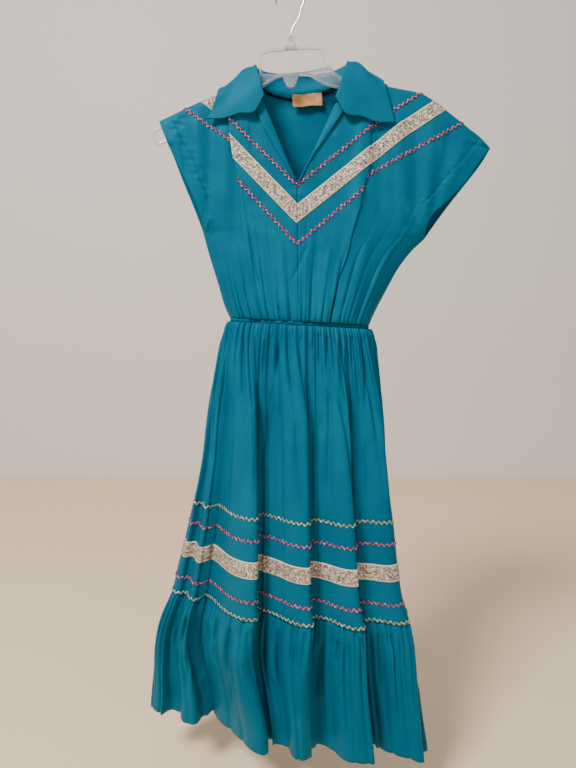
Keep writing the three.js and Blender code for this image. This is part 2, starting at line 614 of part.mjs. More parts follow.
// ---------- bodice ----------
const LEFT_OUTLINE = [...LEFT_SIDE, ...LEFT_CUFF.slice(1)];
const RIGHT_OUTLINE = [...RIGHT_SIDE, ...RIGHT_CUFF.slice(1)];
const BODICE_CENTRE_X = 16;

/** x on an outline at height z, level beyond its ends. */
function outlineX(outline, z) {
  if (z <= outline[0].z) return outline[0].x;
  const last = outline[outline.length - 1];
  if (z >= last.z) return last.x;
  const i = outline.findIndex((p) => p.z > z) - 1;
  return lerp(outline[i].x, outline[i + 1].x, (z - outline[i].z) / (outline[i + 1].z - outline[i].z));
}

/** Height of the shoulder line above x; over the neck it goes on rising. */
function shoulderZ(x) {
  const line = x < BODICE_CENTRE_X ? LEFT_SHOULDER : [...RIGHT_SHOULDER].reverse();
  const [left, right] = [LEFT_NECK[0], RIGHT_NECK[0]];
  if (x > left.x && x < right.x) return Math.min(left.z + 3 * (x - left.x), right.z + 3 * (right.x - x));
  const i = clamp(line.findIndex((p) => p.x > x) - 1, 0, line.length - 2);
  const k = x >= line[line.length - 1].x ? line.length - 2 : i;
  const t = clamp((x - line[k].x) / (line[k + 1].x - line[k].x), 0, 1);
  return lerp(line[k].z, line[k + 1].z, t);
}

/** How far the bodice's front or back stands out from the middle plane at (x, z): a lens or
 *  ellipse across, rounded over the hanger's arms at the shoulder. */
function bodiceDepth(key, x, z) {
  const outline = x < BODICE_CENTRE_X ? LEFT_OUTLINE : RIGHT_OUTLINE;
  const reach = outlineX(outline, z) - BODICE_CENTRE_X;
  const s = clamp((x - BODICE_CENTRE_X) / reach, 0, 1);
  const power = read(BODICE_DEPTHS, 'z', 'power', z);
  const overArm = z > HANGER_REACH_Z ? ARM_HALF_DEPTH : 0;
  const crown = Math.max(read(BODICE_DEPTHS, 'z', key, z) * (1 - s * s) ** power, overArm);
  const fromNeck = Math.min(Math.abs(x - LEFT_NECK[0].x), Math.abs(x - RIGHT_NECK[0].x)) / 120;
  const radius = lerp(SHOULDER_ROUND.neck, SHOULDER_ROUND.tip, clamp(fromNeck, 0, 1));
  const below = clamp((shoulderZ(x) - z) / radius, 0, 1);
  const cuff = outline === LEFT_OUTLINE ? LEFT_CUFF : RIGHT_CUFF;
  const [underarm, tip] = [cuff[0].z, cuff[cuff.length - 1].z];
  const upCuff = clamp((z - underarm) / (tip - underarm), 0, 1);
  const lens = CUFF_HALF_GAP * Math.sin(Math.PI * upCuff) ** 0.6 * s ** 3;
  return (crown + lens) * Math.sqrt(1 - (1 - below) ** 2);
}

/** A patch between four edges, each a function of its share: u across, v up. */
const patch = ({ bottom, top, inner, outer }) => (u, v) => {
  const [b, t, i, o] = [bottom(u), top(u), inner(v), outer(v)];
  const corners = [bottom(0), bottom(1), top(0), top(1)];
  const axis = (k) => lerp(b[k], t[k], v) + lerp(i[k], o[k], u)
    - lerp(lerp(corners[0][k], corners[1][k], u), lerp(corners[2][k], corners[3][k], u), v);
  return { x: axis('x'), z: axis('z') };
};

/** Two lines in one share: the first takes `part` of it. */
const twoLines = (first, second, part) => (t) => (
  t < part ? along(first, t / part) : along(second, (t - part) / (1 - part)));

/** The waist edge from the centre to a side: spaced as round an ellipse. */
const waistEdge = (from, side) => (u) => {
  const x = lerp(from, side, Math.sin((u * Math.PI) / 2));
  return { x, z: waistTop(x) };
};

const NECK_SHARE = 0.368; // share of a front half's top edge that is the V, the rest is shoulder
const UNDERARM_SHARE = 0.47; // share of the side that is side seam, the rest is cuff
const reversed = (line) => [...line].reverse();
const sideShare = (side, cuff) => twoLines(side, cuff, UNDERARM_SHARE);

const BODICE_EDGES = {
  left: {
    bottom: waistEdge(CENTRE_FRONT[0].x, LEFT_SIDE[0].x),
    top: twoLines(reversed(LEFT_NECK), reversed(LEFT_SHOULDER), NECK_SHARE),
    inner: (v) => along(CENTRE_FRONT, v),
    outer: sideShare(LEFT_SIDE, LEFT_CUFF),
  },
  right: {
    bottom: waistEdge(CENTRE_FRONT[0].x, RIGHT_SIDE[0].x),
    top: twoLines(reversed(RIGHT_NECK), reversed(RIGHT_SHOULDER), NECK_SHARE),
    inner: (v) => along(CENTRE_FRONT, v),
    outer: sideShare(RIGHT_SIDE, RIGHT_CUFF),
  },
};

/** Stops of a front half across, in order: plain cloth, the fold edge, the ply under it, the turn
 *  back, and plain cloth to the side. ply counts the layers down from the top one, hidden is the
 *  share of the pleat's hidden width. */
function frontStops(inside, outside) {
  const stops = [];
  for (let k = 0; k < inside; k += 1) stops.push({ part: 'inner', share: k / inside, ply: 0 });
  stops.push({ part: 'fold', hidden: 0, nudge: 1, ply: 0 }, { part: 'fold', hidden: 0, nudge: 0, ply: 0.5 });
  stops.push({ part: 'fold', hidden: 0, nudge: 1, ply: 1 }, { part: 'fold', hidden: 1, nudge: -1, ply: 1 });
  stops.push({ part: 'fold', hidden: 1, nudge: 0, ply: 1.5 }, { part: 'fold', hidden: 1, nudge: -1, ply: 2 });
  for (let k = 0; k <= outside; k += 1) stops.push({ part: 'outer', share: k / outside, ply: 2 });
  return stops;
}

/** Middle surface of a front half at one stop and share v. mm across are turned into u with the
 *  patch's width at that height. The plies of a pleat stack forwards, and upwards on the
 *  shoulder. */
function frontPoint(side, pleat, stop, v, ripple = 0) {
  const at = patch(BODICE_EDGES[side]);
  const [from, to] = [at(0, v), at(1, v)];
  const width = Math.hypot(to.x - from.x, to.z - from.z);
  const edge = read(pleat, 'v', 'u', v);
  const hidden = read(pleat, 'v', 'hidden', v) / width;
  const nudge = 1 / width;
  let u = edge - hidden * stop.hidden - nudge * stop.nudge;
  if (stop.part === 'inner') u = lerp(0, edge - nudge, stop.share);
  if (stop.part === 'outer') u = lerp(edge + 2 * nudge, 1, stop.share);
  const { x, z } = at(u, v);
  const near = stop.part === 'inner' ? smooth(1 - (edge - u) * 3.2) : 1;
  const lift = (2 - stop.ply) * PLY_STEP * near;
  const gathers = ripple * BODICE_GATHER_DEPTH * smooth(1 - v / BODICE_GATHER_SHARE);
  const forward = clamp((shoulderZ(x) - z) / SHOULDER_ROUND.tip, 0, 1);
  return vec(x, -bodiceDepth('front', x, z) - lift * forward - gathers, z + lift * (1 - forward));
}

/** The bodice turns with the skirt near the waist: every bodice point goes through this. */
function turned(p) {
  const share = smooth((-p.z - 300) / 220);
  const slope = -Math.tan(SKIRT_LEVELS[0].turn * DEG);
  return p.setY(p.y + share * (slope * (p.x - SKIRT_LEVELS[0].centreX) + SKIRT_LEVELS[0].centreY));
}

/** Keep a face on its own side of the seams: in front of or behind the middle plane, and left
 *  or right of the centre front. */
function keepSide(p, { half, across = 0, atCentre = false }) {
  if (half === 'front') p.setY(Math.min(p.y, -SEAM / 2));
  else p.setY(Math.max(p.y, SEAM / 2));
  if (atCentre && p.z < CENTRE_FRONT[1].z + 1) p.setX(along(CENTRE_FRONT, (p.z - CENTRE_FRONT[0].z)
    / (CENTRE_FRONT[1].z - CENTRE_FRONT[0].z)).x + (across * SEAM) / 2);
  return p;
}

const FRONT_ROWS = [0, 0.07, 0.16, 0.32, 0.5, 0.68, 0.83, 0.93, 0.98, 1];
const BACK_ROWS = [0, 0.1, 0.25, 0.45, 0.65, 0.82, 0.93, 0.98, 1];

/** A front half's grid of middle points, its normals turned to the front, and its stops. */
function frontHalf(side, pleat, stops) {
  const ripple = (stop, c) => (stop.part === 'fold' ? 0 : 1 - 2 * (c % 2));
  const grid = FRONT_ROWS.map((v) => (
    stops.map((stop, c) => frontPoint(side, pleat, stop, v, ripple(stop, c)))));
  const normals = gridNormals(grid, { side: side === 'right' ? 1 : -1 });
  return { grid, normals, stops, side, half: 'front' };
}

function frontWall({ grid, normals, side }) {
  const across = side === 'right' ? 1 : -1;
  const [outer, inner] = [CLOTH / 2, -CLOTH / 2].map((distance) => moved(grid, normals, distance)
    .map((row) => row.map((p, c) => turned(keepSide(p, { half: 'front', across, atCentre: c === 0 })))));
  return wallBetween(outer, inner);
}

const leftHalf = frontHalf('left', KNIFE_PLEAT, frontStops(10, 10));
const rightHalf = frontHalf('right', SMALL_TUCK, frontStops(10, 10));
place('bodice_front_left', frontWall(leftHalf), 'cotton');
place('bodice_front_right', frontWall(rightHalf), 'cotton');

const BACK_COLUMNS = 28;
const backEdges = {
  bottom: (u) => {
    const x = lerp(LEFT_SIDE[0].x, RIGHT_SIDE[0].x, (1 - Math.cos(u * Math.PI)) / 2);
    return { x, z: waistTop(x) };
  },
  top: (u) => {
    const [neck, shoulder] = [8 / BACK_COLUMNS, 16 / BACK_COLUMNS];
    if (u < neck) return along(LEFT_SHOULDER, u / neck);
    if (u < shoulder) return along(BACK_NECK, (u - neck) / (shoulder - neck));
    return along(reversed(RIGHT_SHOULDER), (u - shoulder) / (1 - shoulder));
  },
  inner: sideShare(LEFT_SIDE, LEFT_CUFF),
  outer: sideShare(RIGHT_SIDE, RIGHT_CUFF),
};
function backPoint(u, v, ripple = 0) {
  const { x, z } = patch(backEdges)(u, v);
  const gathers = ripple * BODICE_GATHER_DEPTH * smooth(1 - v / BODICE_GATHER_SHARE);
  return vec(x, bodiceDepth('back', x, z) + gathers, z);
}
const backGrid = BACK_ROWS.map((v) => Array.from({ length: BACK_COLUMNS + 1 }, (_, c) => (
  backPoint(c / BACK_COLUMNS, v, c % 2 ? 1 : -1))));
const backNormals = gridNormals(backGrid, { side: -1 });
function backWall() {
  const [outer, inner] = [CLOTH / 2, -CLOTH / 2].map((distance) => moved(backGrid, backNormals, distance)
    .map((row) => row.map((p) => turned(keepSide(p, { half: 'back' })))));
  return wallBetween(outer, inner);
}
place('bodice_back', backWall(), 'cotton');

// ---------- trims on the bodice ----------
/** Point of a grid at real row and column numbers, and its normal, both straight between the
 *  grid's own points. */
function onGrid({ grid, normals }, r, c) {
  const [r0, c0] = [Math.min(Math.floor(r), grid.length - 2), Math.min(Math.floor(c), grid[0].length - 2)];
  const [fr, fc] = [r - r0, c - c0];
  const mix = (g) => g[r0][c0].clone().lerp(g[r0][c0 + 1], fc)
    .lerp(g[r0 + 1][c0].clone().lerp(g[r0 + 1][c0 + 1], fc), fr);
  return { point: mix(grid), normal: mix(normals).normalize() };
}

/** A thin skin over the given columns of a cloth, clear of it, with the cloth's own facets. */
function skin({ grid, normals, half }, columns) {
  const near = CLOTH / 2 + TRIM_LIFT;
  const [outer, inner] = [near + TRIM_WALL, near].map((distance) => moved(grid, normals, distance)
    .map((row) => columns.map((c) => turned(keepSide(row[c], { half })))));
  return wallBetween(outer, inner);
}

/** A slanted bar through the cloth from front to back: the outline of a straight run of trim. */
function bar(x0, x1, line, slope, width) {
  const half = (width / 2) * Math.hypot(1, slope);
  return slab([
    { x: x0, z: line(x0) - half }, { x: x1, z: line(x1) - half },
    { x: x1, z: line(x1) + half }, { x: x0, z: line(x0) + half },
  ], 2 * BEYOND);
}

const range = (from, to) => Array.from({ length: to - from + 1 }, (_, k) => from + k);
/** Columns of a front half inside its pleat, and those from the pleat out to the cuff. */
const insideColumns = ({ stops }) => range(0, stops.filter((stop) => stop.part === 'inner').length);
const outsideColumns = ({ stops }) => (
  range(stops.findIndex((stop) => stop.part === 'outer'), stops.length - 1));
const backCloth = { grid: backGrid, normals: backNormals, half: 'back' };

for (const trim of BODICE_TRIMS) {
  const { name, finish: finishName, width, apexZ, slopes, leftSleeve, rightSleeve } = trim;
  const backFrom = trim.backFrom ?? -BEYOND;
  const fromApex = (slope, sign) => (x) => apexZ + slope * sign * (x - APEX_X);
  const sleeve = ({ x: x0, z, slope }, sign) => (x) => z + slope * sign * (x - x0);
  const leftBar = bar(-BEYOND, APEX_X - SEAM, fromApex(slopes.left, -1), slopes.left, width);
  const bend = trim.jump ? BEYOND : rightSleeve.x;
  const rightBar = bar(APEX_X + SEAM + 2, bend, fromApex(slopes.right, 1), slopes.right, width);
  const sleeveStart = trim.jump ? 0 : rightSleeve.x - 1;
  const sleeveBar = bar(sleeveStart, BEYOND, sleeve(rightSleeve, 1), rightSleeve.slope, width);
  const runs = {
    left: [leftHalf, insideColumns(leftHalf), [leftBar]],
    back: [backCloth, range(0, BACK_COLUMNS), [
      bar(backFrom, APEX_X + 1, fromApex(slopes.backLeft, -1), slopes.backLeft, width),
      bar(APEX_X - 1, BEYOND, fromApex(slopes.backRight, 1), slopes.backRight, width),
    ]],
  };
  if (leftSleeve) {
    const run = bar(-BEYOND, 0, sleeve(leftSleeve, -1), leftSleeve.slope, width);
    runs.left_sleeve = [leftHalf, outsideColumns(leftHalf), [run]];
  }
  if (trim.jump) {
    runs.right = [rightHalf, insideColumns(rightHalf), [rightBar]];
    runs.right_sleeve = [rightHalf, outsideColumns(rightHalf), [sleeveBar]];
  } else {
    const columns = [...insideColumns(rightHalf), ...outsideColumns(rightHalf)];
    runs.right = [rightHalf, columns, [rightBar, sleeveBar]];
  }
  for (const [side, [cloth, columns, bars]] of Object.entries(runs)) {
    place(`bodice_${name}_${side}`, cut(skin(cloth, columns), bars), finishName);
  }
}

// ---------- collar, facings, label ----------
/** A point over the bodice's cloth: on its middle surface at (x, z), then out by `clear`. */
function overCloth(side, x, z, clear) {
  if (side === 0) return vec(x, 0, shoulderZ(x) + clear);
  const key = side < 0 ? 'front' : 'back';
  const onCloth = Math.min(z, shoulderZ(x) - 0.5);
  const depth = (dx, dz) => bodiceDepth(key, x + dx, onCloth + dz);
  const normal = vec(depth(-0.5, 0) - depth(0.5, 0), side, depth(0, -0.5) - depth(0, 0.4)).normalize();
  return vec(x, side * depth(0, 0), onCloth).addScaledVector(normal, clear);
}

/** The collar's middle surface at a station: stand, fold and fall. Beside and behind the neck the
 *  fall starts straight. */
function collarSection(s) {
  const seam = vec(...s.seam);
  const fold = vec(...s.fold);
  const outward = vec(fold.x < BODICE_CENTRE_X ? -1 : 1, 0, 0);
  const over = s.side === 0 ? outward : vec(0.35 * outward.x, s.side, 0).normalize();
  const clear = s.side > 0 ? COLLAR_CLEAR.back : COLLAR_CLEAR.front;
  const start = fold.clone().addScaledVector(over, 2.6).add(vec(0, 0, -1.6));
  const fall = FALL_SHARES.map((t, i) => {
    const x = lerp(start.x, s.edge[0], t);
    const z = lerp(start.z, s.edge[1], t) - (s.dips[i] ?? 0);
    return overCloth(s.side, x, z, clear + COLLAR_ROLL * (1 - t));
  });
  if (s.side >= 0) fall[0] = start.clone().lerp(fall[1], FALL_SHARES[0] / FALL_SHARES[1]);
  return [seam, seam.clone().lerp(fold, 0.7), fold, start, ...fall];
}
function collar() {
  const grid = COLLAR.map(collarSection);
  const normals = gridNormals(grid);
  return wallBetween(moved(grid, normals, COLLAR_WALL / 2), moved(grid, normals, -COLLAR_WALL / 2));
}
place('collar', collar(), 'cotton');

/** The facing turned out along the V: a strip over one front half from collar to apex, then over
 *  the other half back up. Narrow at the apex, wide at the collar. */
function facing() {
  const runs = [
    { cloth: leftHalf, columns: [4.6, 4, 3, 2, 1, 0.3] },
    { cloth: rightHalf, columns: [0.3, 1, 2, 3, 4, 4.3] },
  ];
  const faces = [LAPEL.lift + LAPEL.wall, LAPEL.lift].map((distance) => runs.flatMap(({ cloth, columns }) => {
    const top = cloth.grid.length - 1;
    const last = Math.max(...columns);
    return columns.map((c) => {
      const width = lerp(LAPEL.narrow, LAPEL.wide, c / last);
      const edge = onGrid(cloth, top, c).point;
      return [0, 0.5, 1].map((t) => {
        let r = top;
        while (r > 0 && onGrid(cloth, r, c).point.distanceTo(edge) < width * t) r -= LAPEL.search;
        const { point, normal } = onGrid(cloth, r, c);
        const lift = CLOTH / 2 + distance + LAPEL.bulge * Math.sin(Math.PI * t);
        return turned(point.addScaledVector(normal, lift));
      });
    });
  }));
  return wallBetween(faces[0], faces[1]);
}
place('facing', facing(), 'cotton');

function label() {
  const y = bodiceDepth('back', LABEL.x, LABEL.z) - LABEL.inside;
  const geometry = new THREE.BoxGeometry(LABEL.width, LABEL.wall, LABEL.height);
  geometry.rotateY(4 * DEG);
  geometry.translate(LABEL.x, y, LABEL.z);
  return geometry;
}
place('label', label(), 'label');

// ---------- hanger ----------
const flat = (line) => line.map(({ x, z }) => vec(x, 0, z));

/** A flat block that widens or narrows from its top to its bottom. */
const wedge = ({ x, top, bottom, topWidth, bottomWidth, depth }) => slab([
  { x: x - topWidth / 2, z: top }, { x: x - bottomWidth / 2, z: bottom },
  { x: x + bottomWidth / 2, z: bottom }, { x: x + topWidth / 2, z: top },
], depth);

function hangerBody() {
  const outline = [...HANGER_TOP, ...HANGER_BOTTOM];
  const plate = solidOf(slab(outline, WEB)).subtract(solidOf(slab(HANGER_OPENING, 2 * WEB)));
  const rim = wire(flat(outline), RIB, { sides: 6, ring: true });
  const bar = wire(flat(HANGER_BAR), BAR, { sides: 6 });
  return geometryOf(together([rim, bar, wedge(BOSS), wedge(CLIP)]).add(plate));
}
place('hanger', hangerBody(), 'hanger');

function hook() {
  const radius = HOOK.inner + HOOK.wire;
  const arc = range(0, 14).map((k) => {
    const angle = lerp(HOOK.joins, HOOK.tip, k / 14) * DEG;
    return vec(radius * Math.cos(angle), 0, -HOOK.inner + radius * Math.sin(angle));
  });
  const shank = flat([{ x: BOSS.x, z: BOSS.top + SEAM }, ...SHANK]);
  return wire([...shank, ...arc], HOOK.wire, { sides: 8 });
}
place('hook', hook(), 'metal');

export default dress;
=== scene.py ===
"""Looks of a fiesta dress on a clothes hanger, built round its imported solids.

Lengths in the tables and shape functions are millimetres, in the part's own frame: +Z up, the
front faces -Y, +X is the viewer's right, and the origin is the inner crown of the hook. Meshes are
made in metres. Every cloth piece is a grid of points worked out from two parameters.
"""

import math

import bpy
import numpy as np
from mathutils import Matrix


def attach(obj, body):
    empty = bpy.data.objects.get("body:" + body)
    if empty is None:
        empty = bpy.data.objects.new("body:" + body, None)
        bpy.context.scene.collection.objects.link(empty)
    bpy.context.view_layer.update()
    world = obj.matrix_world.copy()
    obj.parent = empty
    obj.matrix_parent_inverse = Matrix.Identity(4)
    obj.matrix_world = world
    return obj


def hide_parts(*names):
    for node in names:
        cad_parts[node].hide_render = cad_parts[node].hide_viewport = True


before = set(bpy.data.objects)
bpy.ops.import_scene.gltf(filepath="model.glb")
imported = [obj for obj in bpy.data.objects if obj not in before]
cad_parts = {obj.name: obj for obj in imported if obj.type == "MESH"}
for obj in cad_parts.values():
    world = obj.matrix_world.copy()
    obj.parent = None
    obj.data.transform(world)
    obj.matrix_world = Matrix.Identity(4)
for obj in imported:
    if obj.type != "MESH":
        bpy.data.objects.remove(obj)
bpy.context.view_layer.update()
MM = 0.001
DEG = math.pi / 180

# ---------- camera ----------
CAMERA_PLACE = (-0.003, -0.950, -0.519)
CAMERA_DOWN = 6.0  # degrees below level
CAMERA_LENS = 27.05  # mm, on a 36 mm long side

camera = bpy.data.objects.new("camera", bpy.data.cameras.new("camera"))
camera.location = CAMERA_PLACE
camera.rotation_euler = ((90 - CAMERA_DOWN) * DEG, 0, 0)
camera.data.lens = CAMERA_LENS
camera.data.sensor_width = 36
camera.data.clip_start = 0.01
bpy.context.scene.collection.objects.link(camera)
bpy.context.scene.camera = camera

# ---------- sizes, as in the part's source ----------
SEAM = 0.3
WAIST_Z = -519
WAIST_HALF_HEIGHT = 2.6
TIER_Z = -990
HEM_Z = -1225
SIDE_TILT = -0.055
COLUMNS = 112
GATHER_DEPTH = 2.3
FLOUNCE_GATHER_DEPTH = 2.6
FLOUNCE_GATHER_FADE = 60
FLOUNCE_SET_BACK = 3.4
FLOUNCE_WAVE_DEPTH = 5.5
CENTRE_X = 16  # of the bodice
CUFF_HALF_GAP = 10
ARM_HALF_DEPTH = 5
HANGER_REACH_Z = -240
ROUND_NECK = 17  # radius of the cloth over the hanger's arms, at the neck and at the tips
ROUND_TIP = 9
PLY_STEP = 1.6
APEX_X = 11
CLOTH = 0.8  # wall of one ply
HEM_DEPTH = 20  # of the stitched hems


def columns(names, rows):
    """A table: one array for each named column."""
    return dict(zip(names.split(), np.array(rows, float).T))


def line(*points):
    return np.array(points, float)


LEVELS = columns("z centre_x centre_y half front back turn", [
    (-520, 15, -2, 113, 50, 46, 3),
    (-579, 13, -4, 125, 56, 50, 4),
    (-646, 11, -6, 137, 60, 52, 5),
    (-747, 7, -8, 150, 64, 54, 6.5),
    (-842, 1.5, -10, 166.5, 66, 56, 8),
    (-944, -5, -10, 186, 66, 58, 9),
    (-990, -4, -10, 199, 66, 60, 9.5),
    (-1085, -14, -6, 223, 60, 62, 10.5),
    (-1225, -13, -2, 243, 56, 66, 11.5),
])

# The big folds: valley angles at the waist, at the tier's seam and at the hem, columns of cloth,
# half depth over width, lean of the crest over the valley, and how far the hem is drawn in.
FOLDS = columns("waist tier hem columns depth lean inset", [
    (9, 4, 4, 10, 0.16, 0.36, 0),
    (49.5, 47, 45.5, 9, 0.2, 0.5, 20),
    (78, 73.5, 74.5, 9, 0.18, 0.56, 6),
    (113, 99.5, 91.5, 10, 0.2, 0.62, 0),
    (152, 137, 125, 4, 0.17, 0.4, 24),
    (163, 149, 144, 9, 0.15, 0.3, 10),
    (189, 187, 186, 8, 0.16, -0.1, 0),
    (216, 219, 221, 9, 0.18, -0.2, 8),
    (243, 247, 244, 8, 0.15, 0.14, 0),
    (270, 271, 274, 10, 0.19, -0.16, 14),
    (297, 299, 301, 8, 0.16, 0.2, 0),
    (322, 326, 327, 8, 0.17, -0.12, 8),
    (340, 336, 336, 10, 0.14, 0.1, 0),
])
FOLD_STARTS = np.concatenate([[0], np.cumsum(FOLDS["columns"])])
SEAM_LEFT = FOLD_STARTS[6]  # column of the side seams
SEAM_RIGHT = (FOLD_STARTS[12] + 6) % COLUMNS

DEPTHS = columns("z front back power", [
    (-520, 50, 46, 0.5),
    (-450, 43, 39, 0.6),
    (-384, 36, 31, 0.75),
    (-300, 31, 26, 0.85),
    (-240, 27, 24, 0.85),
    (-180, 22, 24, 0.8),
    (-120, 18, 22, 0.7),
])


# ---------- small helpers ----------
def lerp(a, b, t):
    return a + (b - a) * t


def smooth(t):
    """0 below 0, 1 above 1, and 3 s squared - 2 s cubed between."""
    s = np.clip(t, 0, 1)
    return s * s * (3 - 2 * s)


def stacked(*parts):
    """Arrays spread to one shape and put side by side along a new last axis."""
    return np.stack(np.broadcast_arrays(*parts), -1)


def lengths(steps):
    """Size of each vector along the last axis."""
    return np.linalg.norm(steps, axis=-1)


def unit(vectors):
    return vectors / lengths(vectors)[..., None]


def reach_of(points):
    """Distance along a line of points, from 0 at its first."""
    return np.concatenate([[0], np.cumsum(lengths(np.diff(points, axis=0)))])


def spaced(ends, counts):
    """Even steps between each two of the ends: counts has the numbers of each stretch, ends included."""
    stretches = [np.linspace(a, b, n)[:-1] for a, b, n in zip(ends, ends[1:], counts)]
    return np.append(np.concatenate(stretches), ends[-1])


def hermite(x, y, at):
    """The smooth curve through the points (x, y), level beyond its ends."""
    x, y = np.asarray(x, float), np.asarray(y, float)
    if x[-1] < x[0]:
        x, y = x[::-1], y[::-1]
    slope = np.gradient(y, x)
    slope[1:-1] = (y[2:] - y[:-2]) / (x[2:] - x[:-2])
    i = np.clip(np.searchsorted(x, at) - 1, 0, len(x) - 2)
    span = x[i + 1] - x[i]
    t = np.clip((at - x[i]) / span, 0, 1)
    t2, t3 = t * t, t * t * t
    return ((2 * t3 - 3 * t2 + 1) * y[i] + (t3 - 2 * t2 + t) * span * slope[i]
            + (3 * t2 - 2 * t3) * y[i + 1] + (t3 - t2) * span * slope[i + 1])


def along(line, t):
    """x and z at share t of the way along a broken line, measured by length."""
    line = np.asarray(line, float)
    reach = np.concatenate([[0], np.cumsum(np.hypot(*np.diff(line, axis=0).T))])
    at = np.clip(t, 0, 1) * reach[-1]
    return np.stack([np.interp(at, reach, line[:, 0]), np.interp(at, reach, line[:, 1])], -1)


def rounded(points, steps, ring=False):
    """A Catmull-Rom curve through the rows of points, `steps` to a span, along the first axis."""
    p = np.asarray(points, float)
    n = len(p)
    spans = n if ring else n - 1
    t = np.arange(spans * steps + (0 if ring else 1)) / steps
    i = np.minimum(t.astype(int), spans - 1)
    f = (t - i).reshape(-1, *[1] * (p.ndim - 1))

    def row(k):
        return p[k % n] if ring else p[np.clip(k, 0, n - 1)]

    a, b, c, d = row(i - 1), row(i), row(i + 1), row(i + 2)
    return 0.5 * (2 * b + (c - a) * f + (2 * a - 5 * b + 4 * c - d) * f ** 2
                  + (3 * b - a - 3 * c + d) * f ** 3)


def uneven(at, period, seed, low=0.0, high=1.0):
    """A smooth random curve between low and high with one free value for each whole number, which
    repeats after `period`."""
    values = np.random.default_rng(seed).uniform(low, high, int(period))
    i = np.floor(at).astype(int)
    t = smooth(at - i)
    return lerp(values[i % int(period)], values[(i + 1) % int(period)], t)


def cloth_mesh(name, points, uv, finish, slot, node=None, wall=CLOTH, ring=False, flip=False):
    """A piece on a grid of points in mm, with quads between its rows and columns, smooth faces, a
    UV map in metres, and a wall of the given thickness, half of it each side. A ring goes on from
    its last column to its first, and its UVs have one column more."""
    rows, cols = uv.shape[:2]
    at = np.arange(rows * cols).reshape(rows, cols)
    quads = np.stack([at[:-1, :-1], at[:-1, 1:], at[1:, 1:], at[1:, :-1]], -1).reshape(-1, 4)
    if flip:
        quads = quads[:, ::-1]
    vertex = np.arange(points[..., 0].size).reshape(points.shape[:2])
    if ring:
        vertex = np.concatenate([vertex, vertex[:, :1]], 1)
    mesh = bpy.data.meshes.new(name)
    mesh.from_pydata((points.reshape(-1, 3) * MM).tolist(), [], vertex.ravel()[quads].tolist())
    layer = mesh.uv_layers.new(name="cloth")
    layer.data.foreach_set("uv", (uv.reshape(-1, 2) * MM)[quads.ravel()].ravel())
    mesh.polygons.foreach_set("use_smooth", np.ones(len(quads), bool))
    mesh.materials.append(finish)
    mesh.update()
    piece = bpy.data.objects.new(name, mesh)
    bpy.context.scene.collection.objects.link(piece)
    if wall:
        shell = piece.modifiers.new("wall", "SOLIDIFY")
        shell.thickness = wall * MM
        shell.offset = 0
    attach(piece, "root")
    if node:
        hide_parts(node)
    return piece


def area_of(points):
    """Area of a grid of points, in square metres: two triangles to a cell."""
    across, down = points[:-1, 1:] - points[:-1, :-1], points[1:, :-1] - points[:-1, :-1]
    back, up = points[:-1, 1:] - points[1:, 1:], points[1:, :-1] - points[1:, 1:]
    halves = lengths(np.cross(across, down)) + lengths(np.cross(back, up))
    return halves.sum() / 2 * MM * MM


def run_of(points, axis):
    """Length of the grid's lines along an axis, in metres: the longest one."""
    return lengths(np.diff(points, axis=axis)).sum(axis=axis).max() * MM


LEAST_FILL = 0.31  # of the rectangle round a sheet's cut


def declare_sheet(points):
    """Work out a sheet's cut as its own surface laid flat, its grid's longest lines and its area; the values
    are not kept.
    """
    area = area_of(points)
    width, length = run_of(points, 1), run_of(points, 0)
    grow = max(1.0, area / (width * length))
    width * grow
    max(area, LEAST_FILL * width * grow * length)


def normals_of(points):
    """Unit normals of a grid: down its columns crossed with along its rows, none where they meet."""
    n = np.cross(np.gradient(points, axis=0), np.gradient(points, axis=1))
    return n / np.maximum(lengths(n)[..., None], 1e-9)


# ---------- shader helpers ----------
class Wire:
    """A shader socket: sums, differences and products of wires and numbers add Math nodes."""

    def __init__(self, finish, socket):
        self.finish, self.socket = finish, socket

    def _math(self, operation, *values):
        node = self.finish.node("ShaderNodeMath", {"operation": operation}, values)
        return Wire(self.finish, node.outputs[0])

    def __add__(self, other):
        return self._math("ADD", self, other)

    def __sub__(self, other):
        return self._math("SUBTRACT", self, other)

    def __rsub__(self, other):
        return self._math("SUBTRACT", other, self)

    def __mul__(self, other):
        return self._math("MULTIPLY", self, other)

    __radd__, __rmul__ = __add__, __mul__

    def between(self, low, high):
        """0 below low, 1 above high, smooth between: a mask."""
        node = self.finish.node("ShaderNodeMapRange", {"interpolation_type": "SMOOTHSTEP"},
                                {"Value": self, "From Min": low, "From Max": high})
        return Wire(self.finish, node.outputs["Result"])

    def repeating(self, period):
        """A sine wave along this socket's value, with the period in the value's own units."""
        return self._math("SINE", self * (2 * math.pi / period))

    def size(self):
        return self._math("ABSOLUTE", self)


